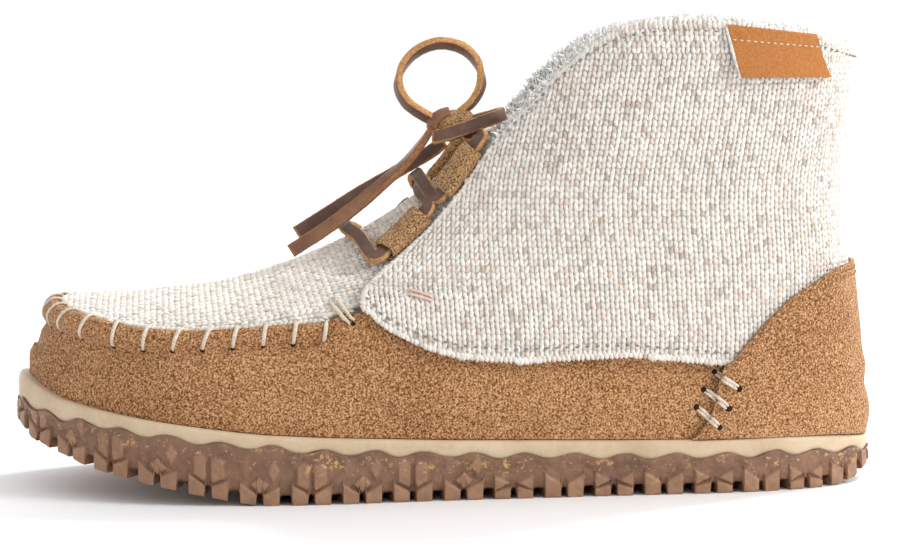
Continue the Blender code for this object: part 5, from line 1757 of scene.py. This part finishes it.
def add_fleece():
    rng = np.random.default_rng(31)
    inner_pile = shaft_grid(220, 60, LINING_OUT - 2.4)
    outer_pile = shaft_grid(220, 60, KNIT_IN - 0.1)
    tops, inner_tops = outer_pile[:, -1], inner_pile[:, -1]
    steps = run_along(tops)
    count = COLLAR_LOCKS
    marks = rng.uniform(0.0, steps[-1], count)
    across = rng.uniform(0.0, 1.0, count)
    place = sample(marks, steps, tops)
    deep = sample(marks, steps, inner_tops)
    inward = deep - place
    bases = place + inward * across[:, None]
    bases[:, 2] -= rng.uniform(0.2, 1.6, count)
    front = 1.0 - smooth(20.0, 62.0, place[:, 0])
    ways = np.array([0.0, 0.0, 1.0]) + unit(inward) * (across - 0.3)[:, None] * 0.9
    ways = ways + rng.normal(0.0, 0.22, (count, 3)) + np.array([-0.55, 0.0, 0.0]) * front[:, None]
    lengths = (2.6 + 2.6 * front) * rng.uniform(0.7, 1.2, count)
    locks("collar_fleece", bases, ways, lengths, 32, ("collar_pile",))
    count = LINING_LOCKS
    pick = rng.integers(4, 216, count), rng.integers(22, 60, count)
    wall = inner_pile[pick]
    out = -grid_normals(inner_pile)[pick]
    base = wall - out * rng.uniform(0.0, 2.2, (count, 1)) + rng.normal(0.0, 0.6, (count, 3))
    ways = out * 0.9 + np.array([0.0, 0.0, -0.7]) + rng.normal(0.0, 0.3, (count, 3))
    locks("throat_fleece", base, ways, rng.uniform(2.2, 4.0, count), 33)
    box_low, box_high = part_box("insole")
    x = rng.uniform(box_low[0] / MM + 3.0, box_high[0] / MM - 3.0, count)
    y = rng.uniform(-1.0, 1.0, count)
    half_out = np.interp(x, [-130, -100, -60, 0, 80, 120, 130], [8, 30, 38, 34, 27, 16, 8])
    base = np.column_stack([x, y * half_out, band_top(x) + 2.0 + INSOLE_PILE])
    ways = np.tile(np.array([0.15, 0.0, 1.0]), (count, 1)) + rng.normal(0.0, 0.45, (count, 3))
    locks("insole_fleece", base, ways, rng.uniform(1.8, 3.2, count), 34)


def add_pile_wall():
    """The lining's backing: a soft wall inside the collar."""
    outer = shaft_grid(160, 40, WALL - 0.6)[:, 16:]
    inner = shaft_grid(160, 40, LINING_OUT - 2.6)[:, 16:]
    points, quads = shell(outer, inner)
    solid("lining_wall", points, [quads], FLEECE, "lining_pile")


add_fleece()
add_pile_wall()


def dress(node, material):
    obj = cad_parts[node]
    if not obj.data.materials:
        obj.data.materials.append(material)
    for slot in obj.material_slots:
        slot.material = material


dress("insole", FLEECE)

# Knot


def add_knot():
    """The bow's knot: a lumpy core with a turn of the thong over it."""
    centre, radii = np.array([2.4, -4.2, 112.2]), np.array([6.4, 4.2, 4.6])
    rng = np.random.default_rng(14)
    columns, rows = 36, 19
    turn = 2 * math.pi * np.arange(columns) / columns
    rise = np.linspace(-1.0, 1.0, rows) * (math.pi / 2 - 0.06)
    c = np.cos(rise)[None, :]
    around = [np.cos(turn)[:, None] * c, np.sin(turn)[:, None] * c]
    grid = np.stack(around + [np.tile(np.sin(rise), (columns, 1))], 2)
    lump = 1.0 + 0.06 * np.sin(3 * turn)[:, None] * c + 0.05 * np.sin(5 * rise)[None, :]
    grid = grid * radii * lump[..., None] * (1.0 + rng.normal(0.0, 0.008, (columns, rows, 1)))
    lean = math.radians(24.0)
    grid = centre + np.stack([grid[..., 0] * math.cos(lean) - grid[..., 2] * math.sin(lean), grid[..., 1],
                              grid[..., 0] * math.sin(lean) + grid[..., 2] * math.cos(lean)], -1)
    ends = np.array([[k * rows for k in range(columns)][::-1], [k * rows + rows - 1 for k in range(columns)]])
    polys = [grid_quads(columns, rows, wrap=True), ends]
    solid("lace_knot_core", grid, polys, LOOP_SUEDE, "lace_leather", ("lace_knot",))
    route, facing = [], []
    for a in np.radians(np.linspace(205.0, 100.0, 8)):
        route.append(centre + np.array([math.cos(a) * radii[0] - 0.4, -0.6, math.sin(a) * (radii[2] - 0.7)]))
        facing.append((math.cos(a), -0.7, math.sin(a)))
    strap("lace_knot_turn", route, facing, flat=True, spacing=0.7, skin_of=NAP)


add_knot()

# Floor, light and view


def stage_plane(name, corners, colour, glow):
    mesh = bpy.data.meshes.new(name)
    mesh.from_pydata(corners, [], [(0, 1, 2, 3)])
    plane = bpy.data.objects.new(name, mesh)
    bpy.context.scene.collection.objects.link(plane)
    n = Nodes(name)
    n.set(Roughness=0.7, Specular_IOR_Level=0.15, Base_Color=(*colour, 1.0))
    n.set(Emission_Color=(1.0, 1.0, 1.0, 1.0), Emission_Strength=glow)
    mesh.materials.append(n.material)


def add_stage():
    reach = 12.0
    stage_plane("floor", [(-reach, -reach, 0), (reach, -reach, 0), (reach, reach, 0), (-reach, reach, 0)],
                (0.9, 0.9, 0.91), 0.0)
    stage_plane("backdrop", [(-reach, 9.0, -0.5), (reach, 9.0, -0.5), (reach, 9.0, 6.0), (-reach, 9.0, 6.0)],
                (0.9, 0.9, 0.9), 1.3)
    world = bpy.data.worlds.new("studio")
    world.use_nodes = True
    world.node_tree.nodes["Background"].inputs["Color"].default_value = (1.0, 1.0, 1.0, 1.0)
    world.node_tree.nodes["Background"].inputs["Strength"].default_value = 0.88
    bpy.context.scene.world = world
    lights = [
        # name, place, size, watts
        ("key", (1.15, -0.55, 0.8), 0.5, 12.0),
        ("rear_key", (0.75, 0.55, 1.05), 0.25, 12.0),
    ]
    for name, place, size, power in lights:
        data = bpy.data.lights.new(name, "AREA")
        data.size = size
        data.energy = power
        light = bpy.data.objects.new(name, data)
        light.location = place
        aim = Vector((0.0, 0.0, 0.06)) - Vector(place)
        light.rotation_euler = aim.to_track_quat("-Z", "Y").to_euler()
        bpy.context.scene.collection.objects.link(light)
    view = bpy.context.scene.view_settings
    view.view_transform = "Standard"
    view.look = "None"
    view.exposure = 0.0


add_stage()
